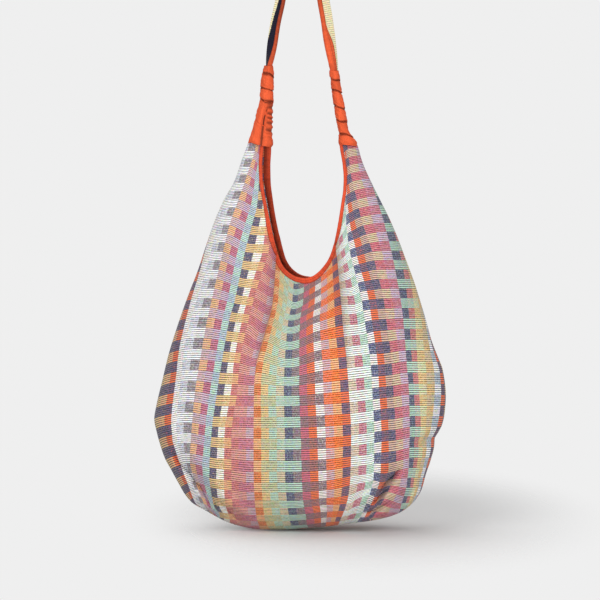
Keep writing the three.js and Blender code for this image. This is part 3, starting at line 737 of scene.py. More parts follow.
def woven_finish(name, sizes, relief=1.0):
    """Ribbed check cloth: each rib in its block's yarn, with the other yarn showing between the ribs."""
    finish = Finish(name)
    u, v = finish.cloth_map()
    rib = sizes.rib_pitch
    rib_place = (v / rib).fraction()
    ridge = 1 - abs(rib_place * 2 - 1)
    block = (v / (rib * sizes.ribs_per_block * 2)).fraction() > 0.5
    threads = finish.noise(u, v, THREADS)
    slubs = finish.noise(u, v, SLUBS)
    patches = finish.noise(u, v, PATCHES, 3.0)
    first, second = finish.yarn("yarn_a"), finish.yarn("yarn_b")
    face = finish.mix(block, second, first)
    gap = finish.mix(block, first, second)
    paler = (finish.lightness(face) - finish.lightness(gap)).ramp(-0.12, 0.12)
    lines = (0.34 - ridge + threads * 0.8 + slubs * 0.4).ramp(-0.14, 0.14)
    flecks = (threads * 1.4 + slubs * 0.5).ramp(-0.10, 0.50) * 0.55
    woven = finish.mix((flecks + (lines - flecks) * paler) * 0.85, face, gap)
    # Painted shade in the crevices between the ribs, added to the yarns' tone noise; relief scales both.
    crevice = 1 - ridge.ramp(0.05, 0.70)
    tone_and_crevice_shade = threads * 1.3 + slubs * 0.5 + patches * 0.2 - crevice * 1.2
    shade = (tone_and_crevice_shade * relief + 1 + 0.43 * relief).kept(0.10, 1.19)
    warm, fresh, cool = (finish.noise(u, v, HUES, shift=shift) for shift in (None, 31, 77))
    finish.paint(woven, [shade * (warm * 0.7 + 1), shade * (fresh * 0.5 + 1), shade * (cool * 0.9 + 1)])
    finish.surface({"Roughness": 0.94 - ridge * 0.12, "Specular IOR Level": 0.25, "Sheen Weight": 0.12})
    finish.bump((ridge * (2 - ridge)).root() + threads * 0.7, 0.0006, 0.65)
    return finish.material


def strip_finish(name, dye, sizes, wound_width=None, fold=None, painted_shade_at=None):
    """Plain cotton strip with fine weave and creases.

    A wound one has a painted shadow where it tucks under, one folded over an edge is stitched down along both
    sides of its fold with a painted shadow at its lip, and one may have painted shade round a place on it.
    """
    finish = Finish(name)
    u, v = finish.cloth_map()
    wave = math.tau / sizes.strip_thread
    over = (u * wave).sine() * (v * wave).sine()
    fuzz = finish.noise(u, v, FUZZ)
    streaks = finish.noise(u, v, STREAKS, 3.0)
    patches = finish.noise(u, v, STRIP_PATCHES)
    shade = fuzz * 0.40 + streaks * 0.60 + patches * 0.50 + over * 0.05 + 1.0
    relief = over * 0.25 + streaks * 1.2 + fuzz * 0.4
    if wound_width:
        shade = shade - abs(u / wound_width * 2 - 1).ramp(*TUCKED_SHARES) * TUCKED_SHADE
    if fold:
        from_fold = abs(u - fold)
        seam = 1 - abs(from_fold - (fold - STITCH_INSET)).ramp(STITCH_CORE, STITCH_WIDTH)
        stitch = seam * ((v / STITCH_PITCH).fraction() > STITCH_SPACE)
        lip = from_fold.ramp(fold - LIP_REACH[0], fold - LIP_REACH[1])
        shade = shade - stitch * STITCH_SHADE - lip * LIP_SHADE
        relief = relief - stitch * STITCH_SINK
    # Painted shade, darkest at this place along the strip and fading away from it.
    if painted_shade_at:
        shade = shade * (abs(v - painted_shade_at).ramp(*STRAP_SHADE_FADE) * (1 - STRAP_SHADE_DARKEST) + STRAP_SHADE_DARKEST)
    finish.paint(dye, [shade] * 3)
    finish.surface({"Roughness": 0.80 + fuzz * 0.2, "Specular IOR Level": 0.3})
    finish.bump(relief, 0.0005, 0.6)
    return finish.material


def pick(*pieces):
    """Selects these pieces alone, with the last one active."""
    bpy.ops.object.select_all(action="DESELECT")
    for piece in pieces:
        piece.select_set(True)
    bpy.context.view_layer.objects.active = pieces[-1]


def lay_grid(name, places, cloth):
    """A sheet of rows and columns of points, with its cloth map. Gives the piece and each face's column."""
    rows, columns = places.shape[0] - 1, places.shape[1] - 1
    bpy.ops.object.select_all(action="DESELECT")
    bpy.ops.mesh.primitive_grid_add(x_subdivisions=columns, y_subdivisions=rows, size=1)
    piece = bpy.context.object
    piece.name = name
    mesh = piece.data
    mesh.name = name
    flat = np.empty(len(mesh.vertices) * 3)
    mesh.vertices.foreach_get("co", flat)
    flat = flat.reshape(-1, 3)
    column = np.rint((flat[:, 0] + 0.5) * columns).astype(int)
    row = np.rint((flat[:, 1] + 0.5) * rows).astype(int)
    if len(flat) != places.shape[0] * places.shape[1]:
        raise RuntimeError(f"{name}: the grid has {len(flat)} points")
    mesh.vertices.foreach_set("co", places[row, column].ravel())
    corner = np.empty(len(mesh.loops), dtype=np.int32)
    mesh.loops.foreach_get("vertex_index", corner)
    layer = mesh.uv_layers[0]
    layer.name = "cloth"
    layer.data.foreach_set("uv", cloth[row[corner], column[corner]].astype(np.float32).ravel())
    mesh.update()
    return piece, column[corner].reshape(-1, 4).min(axis=1)


def tint(piece, name, colours):
    """Stores one colour per face."""
    spots = np.ones((len(colours) * 4, 4), dtype=np.float32)
    spots[:, :3] = np.repeat(colours, 4, axis=0)
    layer = piece.data.color_attributes.new(name, "FLOAT_COLOR", "CORNER")
    layer.data.foreach_set("color", spots.ravel())


def edit(piece, *steps):
    """Runs mesh operators on all of a piece, in edit mode."""
    pick(piece)
    bpy.ops.object.mode_set(mode="EDIT")
    for step in steps:
        bpy.ops.mesh.select_all(action="SELECT")
        step()
    bpy.ops.object.mode_set(mode="OBJECT")


def weld():
    """Joins the points that lie on each other."""
    bpy.ops.mesh.remove_doubles(threshold=TINY)
    bpy.ops.mesh.select_all(action="SELECT")
    bpy.ops.mesh.delete_loose()


def face_out():
    """Turns all faces outwards."""
    bpy.ops.mesh.normals_make_consistent(inside=False)


def close_ends():
    """Fills the open ends of a tube."""
    bpy.ops.mesh.fill_holes(sides=0)


def thicken(piece, thickness):
    """Gives a sheet its thickness, on its inner side."""
    pick(piece)
    wall = piece.modifiers.new("thickness", "SOLIDIFY")
    wall.thickness = thickness
    wall.offset = -1
    wall.use_even_offset = False
    bpy.ops.object.modifier_apply(modifier=wall.name)


def finish_piece(piece, material, node):
    """Shades a piece, gives it its material and ties it to the frame."""
    pick(piece)
    bpy.ops.object.shade_smooth_by_angle(angle=SMOOTH_ANGLE)
    piece.data.materials.clear()
    piece.data.materials.append(material)
    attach(piece, "root")
    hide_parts(node)


def panel_columns():
    """Stripe number and metres across the cloth of each line of points across a panel."""
    stripe = np.arange(len(STRIPES) * QUADS_PER_STRIPE + 1) / QUADS_PER_STRIPE
    edges = np.concatenate([[0], np.cumsum([width for width, _, _ in STRIPES])])
    return stripe, np.interp(stripe, np.arange(len(edges)), edges)


def panel_levels(neck_bottom):
    """Heights of a panel's rows of points, close together at the bottom seam and under the neckline."""
    low = BELLY_HEIGHT * np.linspace(0, 1, LOW_ROWS, endpoint=False) ** 1.5
    body = np.linspace(BELLY_HEIGHT, neck_bottom, BODY_ROWS, endpoint=False)
    mouth = neck_bottom + MOUTH_ROUNDING * np.linspace(0, 1, MOUTH_ROWS, endpoint=False) ** 2
    legs = np.linspace(neck_bottom + MOUTH_ROUNDING, LEG_TOP, LEG_ROWS)
    return np.concatenate([low, body, mouth, legs])


def way_round(heights):
    """Shares of the half width, and how far round the section each lies from the middle at each height."""
    turn = np.linspace(0, math.pi / 2, ROUND_STEPS)
    shares = np.sin(turn) ** (2 / FULLNESS)
    _, half = outline(heights)
    wide = half[:, None] * shares
    deep = half_depth(heights)[:, None] * np.abs(np.cos(turn)) ** (2 / FULLNESS)
    steps = np.hypot(np.diff(wide, axis=1), np.diff(deep, axis=1))
    return shares, np.pad(np.cumsum(steps, axis=1), ((0, 0), (1, 0)))


def calmed(heights, lines, shares):
    """Lines near the side seams with the wobble taken out that a view along the cloth gives them."""
    near = bell(heights[:, None], heights[None], SIDE_CALM) * np.gradient(heights)
    calm = (near / near.sum(axis=1, keepdims=True)) @ lines
    return lines + (calm - lines) * ease(*CALM_SHARES, np.abs(shares))


def panel_field(heights, stripe):
    """Where each stripe line runs at each height: its share of the half width, and its block row."""
    middle, half = (values[:, None] for values in outline(heights))
    shares, arcs = way_round(heights)

    def seen_rows(share):
        """Photo rows in which places across the front are seen."""
        return photo_row(heights[:, None], panel_depth(middle + share * half, heights[:, None]))

    def guides(rows_at):
        """Shares of the half width at which the measured stripe edges lie in these photo rows."""
        lines = [across(curve(points, rows)) for points, rows in zip(STRIPE_EDGES.values(), rows_at.T)]
        return (np.stack(lines, axis=1) - middle) / half

    flat = guides(np.repeat(photo_row(heights)[:, None], len(STRIPE_EDGES), axis=1))
    traced = guides(seen_rows(np.clip(flat, -1, 1)))
    out = np.abs(traced)
    round_out = np.stack([np.interp(out[level], shares, arcs[level]) for level in range(len(heights))])
    lines = np.sign(traced) * (round_out + np.maximum(out - 1, 0) * half)
    lines = calmed(heights, lines, traced)
    left = np.minimum(-arcs[:, -1], lines[:, 0] - LEFT_SEAM_CLOTH)
    right = np.maximum(arcs[:, -1], lines[:, -1] + RIGHT_SEAM_CLOTH)
    lines = np.stack([left, *lines.T, right], axis=1)
    ways = smooth([0, *STRIPE_EDGES, len(STRIPES)], lines, stripe)
    share = np.stack([np.interp(np.abs(ways[level]), arcs[level], shares) for level in range(len(heights))])
    share = share * np.sign(ways)
    seen = seen_rows(share)
    blocks = np.stack([curve(points, seen) for points in BLOCK_ROWS.values()], axis=2)
    block = np.empty_like(share)
    for column, number in enumerate(stripe):
        block[:, column] = smooth(list(BLOCK_ROWS), blocks[:, column], [number])[:, 0]
    return share, block


def panel_half(name, sizes, yarns, front, right_half):
    """Half of a panel: stripe lines run up from the bottom seam, along the neckline, to the top of a leg."""
    stripe, metres = panel_columns()
    span = slice(NECK_COLUMN, None) if right_half else slice(0, NECK_COLUMN + 1)
    stripe, metres = stripe[span], metres[span]
    neck_bottom = neck_height(NECK_BOTTOM_ROW, front)
    levels = panel_levels(neck_bottom)
    share, block = panel_field(levels, stripe)
    middle, half = outline(levels)
    x = middle[:, None] + share * half[:, None]
    left, right = (edge[:, None] for edge in neck_edges(levels, front))
    trimmed = np.maximum(x, right) if right_half else np.minimum(x, left)
    x = np.where(levels[:, None] > neck_bottom, trimmed, x)
    height = np.repeat(levels[:, None], len(stripe), axis=1)
    out = sizes.seam_gap / 2 + np.maximum(panel_depth(x, height, front), 0)
    places = np.stack([x, -out if front else out, height + BAG_BOTTOM], axis=2)
    along = block * sizes.rib_pitch * sizes.ribs_per_block * 2
    cloth = np.stack([np.broadcast_to(metres, along.shape), along], axis=2)
    piece, face_column = lay_grid(name, places, cloth)
    plan = STRIPES if front else STRIPES[::-1]
    face_stripe = np.floor(stripe[face_column] + TINY).astype(int)
    for layer, place in (("yarn_a", 1), ("yarn_b", 2)):
        shades = np.array([getattr(yarns, entry[place])[:] for entry in plan])
        tint(piece, layer, shades[face_stripe])
    return piece


def panel_sheet(name, sizes, yarns, front):
    """One panel, its halves joined below the neckline."""
    left = panel_half(name, sizes, yarns, front, False)
    right = panel_half(name + "_right", sizes, yarns, front, True)
    pick(right, left)
    bpy.ops.object.join()
    edit(left, weld, *([] if front else [bpy.ops.mesh.flip_normals]))
    thicken(left, sizes.cloth_thickness)
    return left


def channel(width, room, leaf):
    """Section of a strip folded over an edge: (into the cloth, out of its outer face), in metres."""
    lip, slack, ease_out = 0.00015, 0.0001, 0.0022
    upper = [
        (width, slack), (width + lip, leaf / 2), (width - 2 * lip, leaf), (width * 0.8, leaf + lip),
        (width * 0.55, leaf + 2 * lip), (width * 0.3, leaf + 2.5 * lip), (width * 0.08, leaf + 2.5 * lip),
        (-ease_out * 0.4, leaf + lip), (-ease_out * 0.8, leaf * 0.45),
    ]
    lower = [(into, -room - out) for into, out in reversed(upper)]
    inner = [
        (width * 0.5, -room - slack), (-ease_out * 0.2, -room - slack), (-ease_out * 0.2, slack),
        (width * 0.5, slack),
    ]
    return np.array([*upper, (-ease_out, -room / 2), *lower, *inner])


def fold_run(width, room, leaf):
    """Metres of strip from its lip to its fold, in a strip folded over an edge."""
    return float(run_along(channel(width, room, leaf)[:LIP_TO_FOLD])[-1])


def sweep(name, path, into, out, section, run):
    """A closed section swept along a path. Section may change along it: (steps, points, 2)."""
    section = np.broadcast_to(section, (len(path), *np.shape(section)[-2:]))
    loop = np.concatenate([section, section[:, :1]], axis=1)
    places = path[:, None] + loop[..., :1] * into[:, None] + loop[..., 1:] * out[:, None]
    cloth = np.stack(np.broadcast_arrays(run_along(loop[0])[None, :], run[:, None]), axis=2)
    return lay_grid(name, places, cloth)


def neck_binding(name, sizes, front):
    """A strip folded over the neckline's edge."""
    x, height, run = neck_path(front)
    toward = -1.0 if front else 1.0

    def depth(step_x=0.0, step_z=0.0):
        """Depth of the cloth at, or a step away from, the neckline."""
        return panel_depth(x + step_x, height + step_z, front)

    lean_x = (depth(SLOPE_STEP) - depth(-SLOPE_STEP)) / (2 * SLOPE_STEP)
    lean_z = (depth(0.0, SLOPE_STEP) - depth(0.0, -SLOPE_STEP)) / (2 * SLOPE_STEP)
    path = np.stack([x, toward * (depth() + sizes.seam_gap / 2), height + BAG_BOTTOM], axis=1)
    ahead = unit(np.gradient(path, axis=0))
    out = unit(np.stack([-lean_x, np.full(len(x), toward), -lean_z], axis=1))
    into = unit(np.cross(ahead, out) * -toward)
    flat = channel(sizes.binding_width, sizes.cloth_thickness, BINDING_LEAF)
    section = np.repeat(flat[None], len(x), axis=0)
    pucker = np.sin(run * 730) * np.sin(run * 211 + 1) * PUCKER + np.sin(run * 95) * LONG_PUCKER
    outer = section[..., 1] > NECK_OUTER_FACE
    section[..., 1] += np.where(outer, pucker[:, None] * np.clip(section[..., 0] / PUCKER_REACH, 0.2, 1), 0)
    narrow = np.clip(section[..., 0] / sizes.binding_width, 0, 1)
    on_left, on_right = 1 - ease(*LEFT_NECK_SIDE, x), ease(*RIGHT_NECK_SIDE, x)
    slim = on_right * (RIGHT_SLIM + RIGHT_LEG_SLIM * ease(*RIGHT_LEG_HEIGHTS, height))
    slim = slim + on_left * (FRONT_LEFT_SLIM if front else BACK_LEFT_SLIM)
    section[..., 0] *= 1 - narrow * slim[:, None]
    waver = np.sin(run * 57 + 0.6) * 0.05 + np.sin(run * 143) * 0.03
    section[..., 0] *= 1 + waver[:, None] * (section[..., 0] > WAVER_FROM)
    piece, _ = sweep(name, path, into, out, section, run)
    edit(piece, weld, close_ends, face_out)
    return piece


def wrap_gathers(angle, row, height):
    """The left wrap's gathers: the turns' relief left, the painted shade on them and how far they stand."""
    left_lobe, right_lobe = (bell(angle, where, TAUT_REACH) for where in (TAUT_LEFT_ANGLE, TAUT_RIGHT_ANGLE))
    taut = ease(*TAUT_ROWS, row) * (0.9 * left_lobe + 0.8 * right_lobe * (1 - ease(*TAUT_RIGHT_END, row)))
    left_over = 1 - np.clip(taut, 0, 0.92)
    groove_angle = GROOVE_ANGLE - GROOVE_SWING * (1 - ease(*GROOVE_SWING_ROWS, row))
    groove = bell(angle, groove_angle, GROOVE_REACH) * ease(*GROOVE_ROWS, row)
    gathered = between(GATHER_RISE, GATHER_FALL, angle) * between(GATHER_TOP, GATHER_END, row)
    ripple = np.sin(row * 1.15 + angle * 1.9 + 1.1 * np.sin(row * 0.37 + angle))
    knuckle = bell(angle, KNUCKLE_ANGLE, KNUCKLE_REACH) * bell(row, KNUCKLE_ROW, KNUCKLE_ROWS)
    # Painted shade in the groove, over the gathers and under the knuckle.
    painted_shade = np.clip(np.maximum(gathered * (0.83 - 0.10 * ripple), 1.05 * groove) + 0.6 * knuckle, 0, 1)
    beside = sum(bell(angle, where, BESIDE_GROOVE_REACH) for where in BESIDE_GROOVE_ANGLES)
    stand = BESIDE_GROOVE_SWELL * beside * (1 - ease(*BESIDE_GROOVE_HEIGHTS, height)) - GROOVE_DEPTH * groove
    return left_over, painted_shade, stand + GATHER_DEPTH * gathered * ripple - KNUCKLE_DEPTH * knuckle


def wrap_sheet(name, sizes, edges, turns, front_turn, bottom_row, lift, gathered):
    """A strip wound round and round: a sleeve whose turns stand over the turn below."""
    round_part = np.linspace(0, 1, WRAP_COLUMNS + 1)
    angle = math.pi - round_part * math.tau
    side, facing = np.cos(angle), np.sin(angle)
    end_row = bottom_row - lift * bell(angle, HEM_LIFT_ANGLE, HEM_LIFT_REACH) + 0.6 * np.sin(angle * 2 + 1)
    row = end_row + (edges[0][0] - end_row) * np.linspace(0, 1, WRAP_ROWS + 1)[:, None]
    height = (PHOTO_BOTTOM - row) * PIXEL
    left, right = (across(curve({entry[0]: entry[place] for entry in edges}, row)) for place in (1, 2))
    middle, half = (left + right) / 2, (right - left) / 2
    wound = np.interp(round_part, [0, 0.5, 1], [0, front_turn, 1])
    turn = curve(turns, row) - wound + 0.05 * np.sin(angle * 3 + row * 0.31)
    place = turn - np.floor(turn)
    lip = ease(0.10, 1.0, place) ** 0.7 * (1 - ease(0.965, 1.0, place))
    crack = bell(place, 0, 0.055) + bell(place, 1, 0.03)
    crumple = CRUMPLE * np.sin(place * 9 + angle * 2) * np.sin(angle * 3 + row * 0.4)
    crumple = crumple + FINE_CRUMPLE * np.sin(place * 23 + angle * 3.1 + np.floor(turn) * 2.3)
    if gathered:
        left_over, painted_shade, stand = wrap_gathers(angle, row, height)
    else:
        left_over, painted_shade = 1, 0
        stand = BULGE * np.sin(math.pi * np.clip((row - BULGE_TOP) / BULGE_ROWS, 0, 1))
    rise = (sizes.wrap_lap * lip - CRACK_DEPTH * crack) * left_over + crumple + stand
    rise = rise + HEM_SWELL * bell(row, end_row - HEM_ABOVE, HEM_REACH)
    wide = np.maximum(half - sizes.wrap_lap * 0.6, WRAP_LEAST)
    power = 2 / WRAP_FULLNESS
    x = middle + (wide + rise) * np.sign(side) * np.abs(side) ** power
    y = -(curve(WRAP_DEPTHS, row) + rise) * np.sign(facing) * np.abs(facing) ** power
    places = np.stack([x, y, height + BAG_BOTTOM], axis=2)
    places[:, -1] = places[:, 0]
    # Painted shade moves the cloth map to a turn's tucked edge, where its painted shadow lies.
    shown = (0.5 + (place - 0.5) * left_over) * (1 - 0.98 * painted_shade)
    cloth = np.stack([shown * WRAP_PITCH, (round_part - np.floor(turn)) * WRAP_GIRTH], axis=2)
    piece, _ = lay_grid(name, places, cloth)
    edit(piece, weld, face_out)
    thicken(piece, WRAP_THICKNESS)
    return piece


def strap_frames():
    """Points up the left strand, over the top and down the right one, with the band's directions and run."""
    height = np.linspace(min(STRAP_HALF), STRAP_TOP - STRAP_ARC - BAND_RISE, STRAP_STEPS)
    strand = np.stack([curve(STRAP_HALF, height), height], axis=1)
    bend = np.linspace(0, math.pi / 2, ARC_STEPS + 1)[1:]
    start = strand[-1]
    reach = start[0] - STRAP_FLAT
    arc = np.stack([start[0] - reach * (1 - np.cos(bend)), start[1] + STRAP_ARC * np.sin(bend)], axis=1)
    flat_x = np.linspace(STRAP_FLAT, 0, FLAT_STEPS + 1)[1:]
    flat = np.stack([flat_x, np.full(FLAT_STEPS, arc[-1, 1])], axis=1)
    right = np.concatenate([strand, arc, flat])
    left = right * [-1, 1]
    left[:, 0] -= LEFT_STRAND_OUT * between(STRAND_OUT_RISE, STRAND_OUT_FALL, left[:, 1])
    line = np.concatenate([left, right[-2::-1]])
    rise = line[:, 1]
    path = np.stack([line[:, 0], np.zeros(len(line)), rise + BAG_BOTTOM], axis=1)
    ahead = unit(np.gradient(path, axis=0))
    outward = np.stack([-ahead[:, 2], np.zeros(len(line)), ahead[:, 0]], axis=1)
    back = np.broadcast_to([0.0, 1.0, 0.0], outward.shape)
    most, low, high = np.where(line[:, :1] < 0, LEFT_TWIST, RIGHT_TWIST).T
    turn = (most * between((low, high), TWIST_FALL, rise))[:, None]
    narrow = np.where(line[:, 0] < 0, LEFT_STRAND_NARROW, RIGHT_STRAND_NARROW)
    narrow = narrow * between(NARROW_RISE, NARROW_FALL, rise)
    across_band = (back * np.cos(turn) + outward * np.sin(turn)) * (1 - narrow[:, None])
    out = outward * np.cos(turn) - back * np.sin(turn)
    return path, across_band, out, run_along(path)


def strap_band(name, yarns):
    """A strip of the check cloth folded in two, fold at the back."""
    path, into, out, run = strap_frames()
    bend_at = STRAP_WIDTH / 2 - BAND_FOLD
    flat = np.linspace(BAND_EDGE, bend_at, LEAF_POINTS)
    bow = BAND_BOW * np.sin(np.linspace(0, math.pi, LEAF_POINTS))
    bend = np.linspace(math.pi / 2, -math.pi / 2, FOLD_POINTS)[1:-1]
    outer = [*zip(flat, BAND_LEAF + bow)]
    outer += [(bend_at + BAND_FOLD * math.cos(turn), BAND_LEAF * math.sin(turn)) for turn in bend]
    outer += [*zip(flat[::-1], -BAND_LEAF - bow)]
    section = np.array(outer + BAND_INSIDE)
    piece, face_column = sweep(name, path, into, out, section, run)
    middle = section[:, 0] * 0.5 + np.roll(section[:, 0], -1) * 0.5
    centres = np.array([face.center for face in piece.data.polygons])
    # Faces of the left strand inside that edge get navy with painted shade, the rest the pale butter yarn.
    painted_shade = (centres[:, 0] < 0) & (middle[face_column] < curve(STRAP_SHADE_EDGE, centres[:, 2] - BAG_BOTTOM))
    shades = np.where(painted_shade[:, None], yarns.ink[:], yarns.butter[:])
    for layer in ("yarn_a", "yarn_b"):
        tint(piece, layer, shades)
    edit(piece, weld, close_ends, face_out)
    return piece


def strap_binding(name):
    """A strip folded over the strap's raw edges, at the front."""
    path, into, out, run = strap_frames()
    section = np.repeat(channel(*STRAP_BINDING)[None], len(path), axis=0)
    spread = 1 + RIGHT_SPREAD * (path[:, 0] > 0) * (1 - ease(*SPREAD_HEIGHTS, path[:, 2] - BAG_BOTTOM))
    section[..., 0] *= np.where(section[..., 0] > 0, spread[:, None], 1)
    section[..., 0] += -STRAP_WIDTH / 2 + BINDING_OVERHANG
    section[..., 1] += STRAP_BINDING[1] / 2
    pucker = np.sin(run * 610 + 2) * np.sin(run * 190) * PUCKER
    outer = np.abs(section[..., 1]) > STRAP_OUTER_FACE
    section[..., 1] += np.where(outer, pucker[:, None] * np.sign(section[..., 1]), 0)
    piece, _ = sweep(name, path, into, out, section, run)
    edit(piece, weld, close_ends, face_out)
    return piece


def length_property(title, description, metres):
    """A setting for one size."""
    return FloatProperty(name=title, description=description, default=metres, unit="LENGTH")


class BagSizes(bpy.types.PropertyGroup):
    """Sizes of the cloth and strips."""

    cloth_thickness: length_property("Cloth thickness", "Thickness of the ribbed cloth", 0.0016)
    seam_gap: length_property("Seam gap", "Gap between the two panels at their seam", 0.0002)
    rib_pitch: length_property("Rib pitch", "Height of one rib of the weave", 0.0029)
    ribs_per_block: IntProperty(
        name="Ribs per block", description="Ribs in one block of the check", default=5, min=1
    )
    strip_thread: length_property("Strip thread", "Thread spacing of the plain strips", 0.0009)
    binding_width: length_property("Binding width", "Width of the neck binding on each face", 0.0052)
    wrap_lap: length_property("Wrap lap", "How far each turn of a wrap stands over the next", 0.0007)


def yarn_property(name, chart):
    """A colour setting for one yarn."""
    return FloatVectorProperty(
        name=name.title(), description=f"Colour of the {name} yarn", subtype="COLOR", size=3, min=0, max=1,
        default=colour(*chart),
    )


class BagYarns(bpy.types.PropertyGroup):
    """Colours of the yarns and strips."""

    __annotations__ = {name: yarn_property(name, chart) for name, chart in YARNS.items()}


class BAG_OT_panels(bpy.types.Operator):
    """Builds the front and back panels of the balloon"""

    bl_idname = "bag.panels"
    bl_label = "Balloon panels"

    def execute(self, context):
        sizes, yarns = context.scene.bag_sizes, context.scene.bag_yarns
        material = woven_finish("ribbed_check_cloth", sizes)
        for node, front in (("front_panel", True), ("back_panel", False)):
            piece = panel_sheet(f"{node}_cloth", sizes, yarns, front)
            finish_piece(piece, material, node)
        return {"FINISHED"}


class BAG_OT_neck_bindings(bpy.types.Operator):
    """Builds the strips that bind the neckline"""

    bl_idname = "bag.neck_bindings"
    bl_label = "Neck bindings"

    def execute(self, context):
        sizes, yarns = context.scene.bag_sizes, context.scene.bag_yarns
        fold = fold_run(sizes.binding_width, sizes.cloth_thickness, BINDING_LEAF)
        material = strip_finish("binding_cotton", yarns.binding[:], sizes, fold=fold)
        for node, front in (("front_neck_binding", True), ("back_neck_binding", False)):
            piece = neck_binding(f"{node}_strip", sizes, front)
            finish_piece(piece, material, node)
        return {"FINISHED"}


class BAG_OT_wraps(bpy.types.Operator):
    """Builds the wound strips that hold the strap's ends on the legs"""

    bl_idname = "bag.wraps"
    bl_label = "Wraps"

    def execute(self, context):
        sizes, yarns = context.scene.bag_sizes, context.scene.bag_yarns
        material = strip_finish("wrap_cotton", yarns.wrap[:], sizes, WRAP_PITCH)
        for node, *shape in WRAPS:
            piece = wrap_sheet(f"{node}_strip", sizes, *shape)
            finish_piece(piece, material, node)
        return {"FINISHED"}


class BAG_OT_strap(bpy.types.Operator):
    """Builds the folded strap band and the strip that binds its edges"""

    bl_idname = "bag.strap"
    bl_label = "Strap"

    def execute(self, context):
        sizes, yarns = context.scene.bag_sizes, context.scene.bag_yarns
        band = strap_band("strap_band_cloth", yarns)
        cloth = woven_finish("strap_check_cloth", sizes, STRAP_PAINTED_RELIEF)
        finish_piece(band, cloth, "strap_band")
        binding = strap_binding("strap_binding_strip")
        fold = fold_run(*STRAP_BINDING)
        # The strap binding's painted shade centres left of the strap's middle, over the left strand.
        painted_shade_at = float(strap_frames()[3][-1]) / 2 - STRAP_SHADE_LEFT
        material = strip_finish("strap_binding_cotton", yarns.wrap[:], sizes, fold=fold, painted_shade_at=painted_shade_at)
        finish_piece(binding, material, "strap_binding")
        return {"FINISHED"}


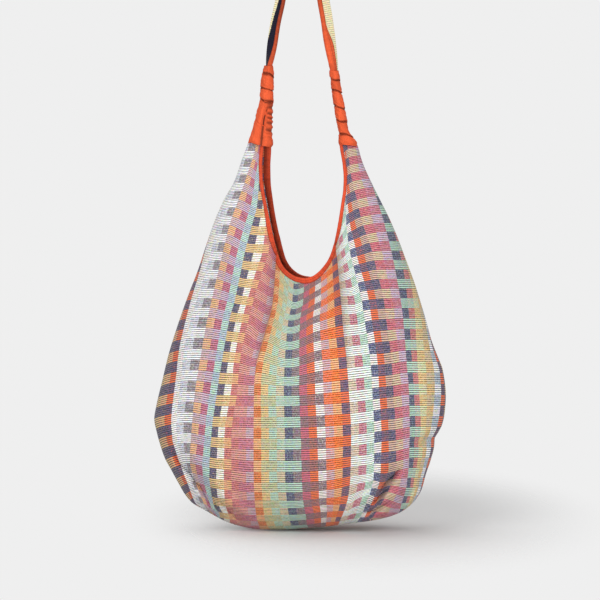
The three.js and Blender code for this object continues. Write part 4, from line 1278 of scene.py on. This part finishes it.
class BAG_OT_stage(bpy.types.Operator):
    """Sets up the floor, the lights and the camera"""

    bl_idname = "bag.stage"
    bl_label = "Stage"

    def execute(self, context):
        scene = context.scene
        scene.view_settings.view_transform = "Standard"
        self.camera(scene)
        self.floor()
        self.lights(scene)
        return {"FINISHED"}

    def camera(self, scene):
        """A long lens at the photograph's angle and frame."""
        bpy.ops.object.camera_add()
        camera = bpy.context.object
        camera.name = "photo_camera"
        camera.data.sensor_width = 36
        camera.data.lens = camera.data.sensor_width * CAMERA_AWAY / (PHOTO_SIZE * PIXEL)
        camera.data.clip_end = 100
        rise = (PHOTO_BOTTOM - PHOTO_SIZE / 2) * PIXEL / math.cos(LOOK_DOWN)
        aim = Vector((float(across(PHOTO_SIZE / 2)), 0, BAG_BOTTOM + rise))
        back = Vector((0, -math.cos(LOOK_DOWN), math.sin(LOOK_DOWN)))
        camera.location = aim + back * CAMERA_AWAY
        camera.rotation_euler = (-back).to_track_quat("-Z", "Y").to_euler()
        scene.camera = camera

    def floor(self):
        """A pale floor that fades into the background."""
        bpy.ops.mesh.primitive_plane_add(size=8, location=(0, 0, BAG_BOTTOM - 0.001))
        floor = bpy.context.object
        floor.name = "pale_floor"
        finish = Finish("pale_floor")
        spot = finish.node("ShaderNodeTexCoord", {}, {}).outputs["Object"]
        for operation, vector in (("SUBTRACT", FLOOR_SPOT), ("MULTIPLY", FLOOR_STRETCH)):
            moved = finish.node("ShaderNodeVectorMath", {"operation": operation}, {0: spot, 1: vector})
            spot = moved.outputs[0]
        far = finish.node("ShaderNodeVectorMath", {"operation": "LENGTH"}, {0: spot}).outputs["Value"]
        fade = Value(finish, far).ramp(*FLOOR_FADE)
        clear = finish.node("ShaderNodeBsdfTransparent", {}, {})
        finish.surface({"Base Color": colour(*FLOOR_GREY), "Roughness": 1.0, "Specular IOR Level": 0.0})
        inputs = {0: fade, 1: finish.shader.outputs[0], 2: clear.outputs[0]}
        mixed = finish.node("ShaderNodeMixShader", {}, inputs)
        finish.feed(finish.output.inputs["Surface"], mixed.outputs[0])
        floor.data.materials.append(finish.material)

    def lights(self, scene):
        """Soft lights from the front left, the front, the right and above, and an even surround."""
        aim = Vector((0, 0, BAG_BOTTOM + LAMP_AIM))
        for name, spot, size, power in LAMPS:
            bpy.ops.object.light_add(type="AREA", location=aim + Vector(spot))
            lamp = bpy.context.object
            lamp.name = name
            lamp.data.size = size
            lamp.data.energy = power
            lamp.rotation_euler = (-Vector(spot)).to_track_quat("-Z", "Y").to_euler()
        world = bpy.data.worlds.new("studio")
        scene.world = world
        world.use_nodes = True
        tree = world.node_tree
        surround = tree.nodes["Background"]
        surround.inputs["Color"].default_value = (*colour(*SURROUND_GREY), 1)
        surround.inputs["Strength"].default_value = SURROUND_STRENGTH
        seen = tree.nodes.new("ShaderNodeBackground")
        seen.inputs["Color"].default_value = (*colour(*BACKGROUND_GREY), 1)
        paths = tree.nodes.new("ShaderNodeLightPath")
        both = tree.nodes.new("ShaderNodeMixShader")
        tree.links.new(paths.outputs["Is Camera Ray"], both.inputs[0])
        tree.links.new(surround.outputs[0], both.inputs[1])
        tree.links.new(seen.outputs[0], both.inputs[2])
        tree.links.new(both.outputs[0], tree.nodes["World Output"].inputs["Surface"])


OPERATORS = (BAG_OT_stage, BAG_OT_panels, BAG_OT_neck_bindings, BAG_OT_wraps, BAG_OT_strap)


class BAG_PT_sidebar(bpy.types.Panel):
    """Lists the bag's pieces and settings in the sidebar"""

    bl_idname = "BAG_PT_sidebar"
    bl_label = "Balloon bag"
    bl_space_type = "VIEW_3D"
    bl_region_type = "UI"
    bl_category = "Bag"

    def draw(self, context):
        for operator in OPERATORS:
            self.layout.operator(operator.bl_idname)
        for group in (context.scene.bag_sizes, context.scene.bag_yarns):
            box = self.layout.box()
            for name in group.__annotations__:
                box.prop(group, name)


CLASSES = (BagSizes, BagYarns, *OPERATORS, BAG_PT_sidebar)


def register():
    """Adds the classes and settings to Blender."""
    for entry in CLASSES:
        bpy.utils.register_class(entry)
    bpy.types.Scene.bag_sizes = PointerProperty(type=BagSizes)
    bpy.types.Scene.bag_yarns = PointerProperty(type=BagYarns)


def unregister():
    """Takes the classes and settings out of Blender."""
    del bpy.types.Scene.bag_yarns
    del bpy.types.Scene.bag_sizes
    for entry in reversed(CLASSES):
        bpy.utils.unregister_class(entry)


def main():
    """Builds everything."""
    register()
    for operator in OPERATORS:
        group, name = operator.bl_idname.split(".")
        getattr(getattr(bpy.ops, group), name)()


if __name__ == "__main__":
    main()
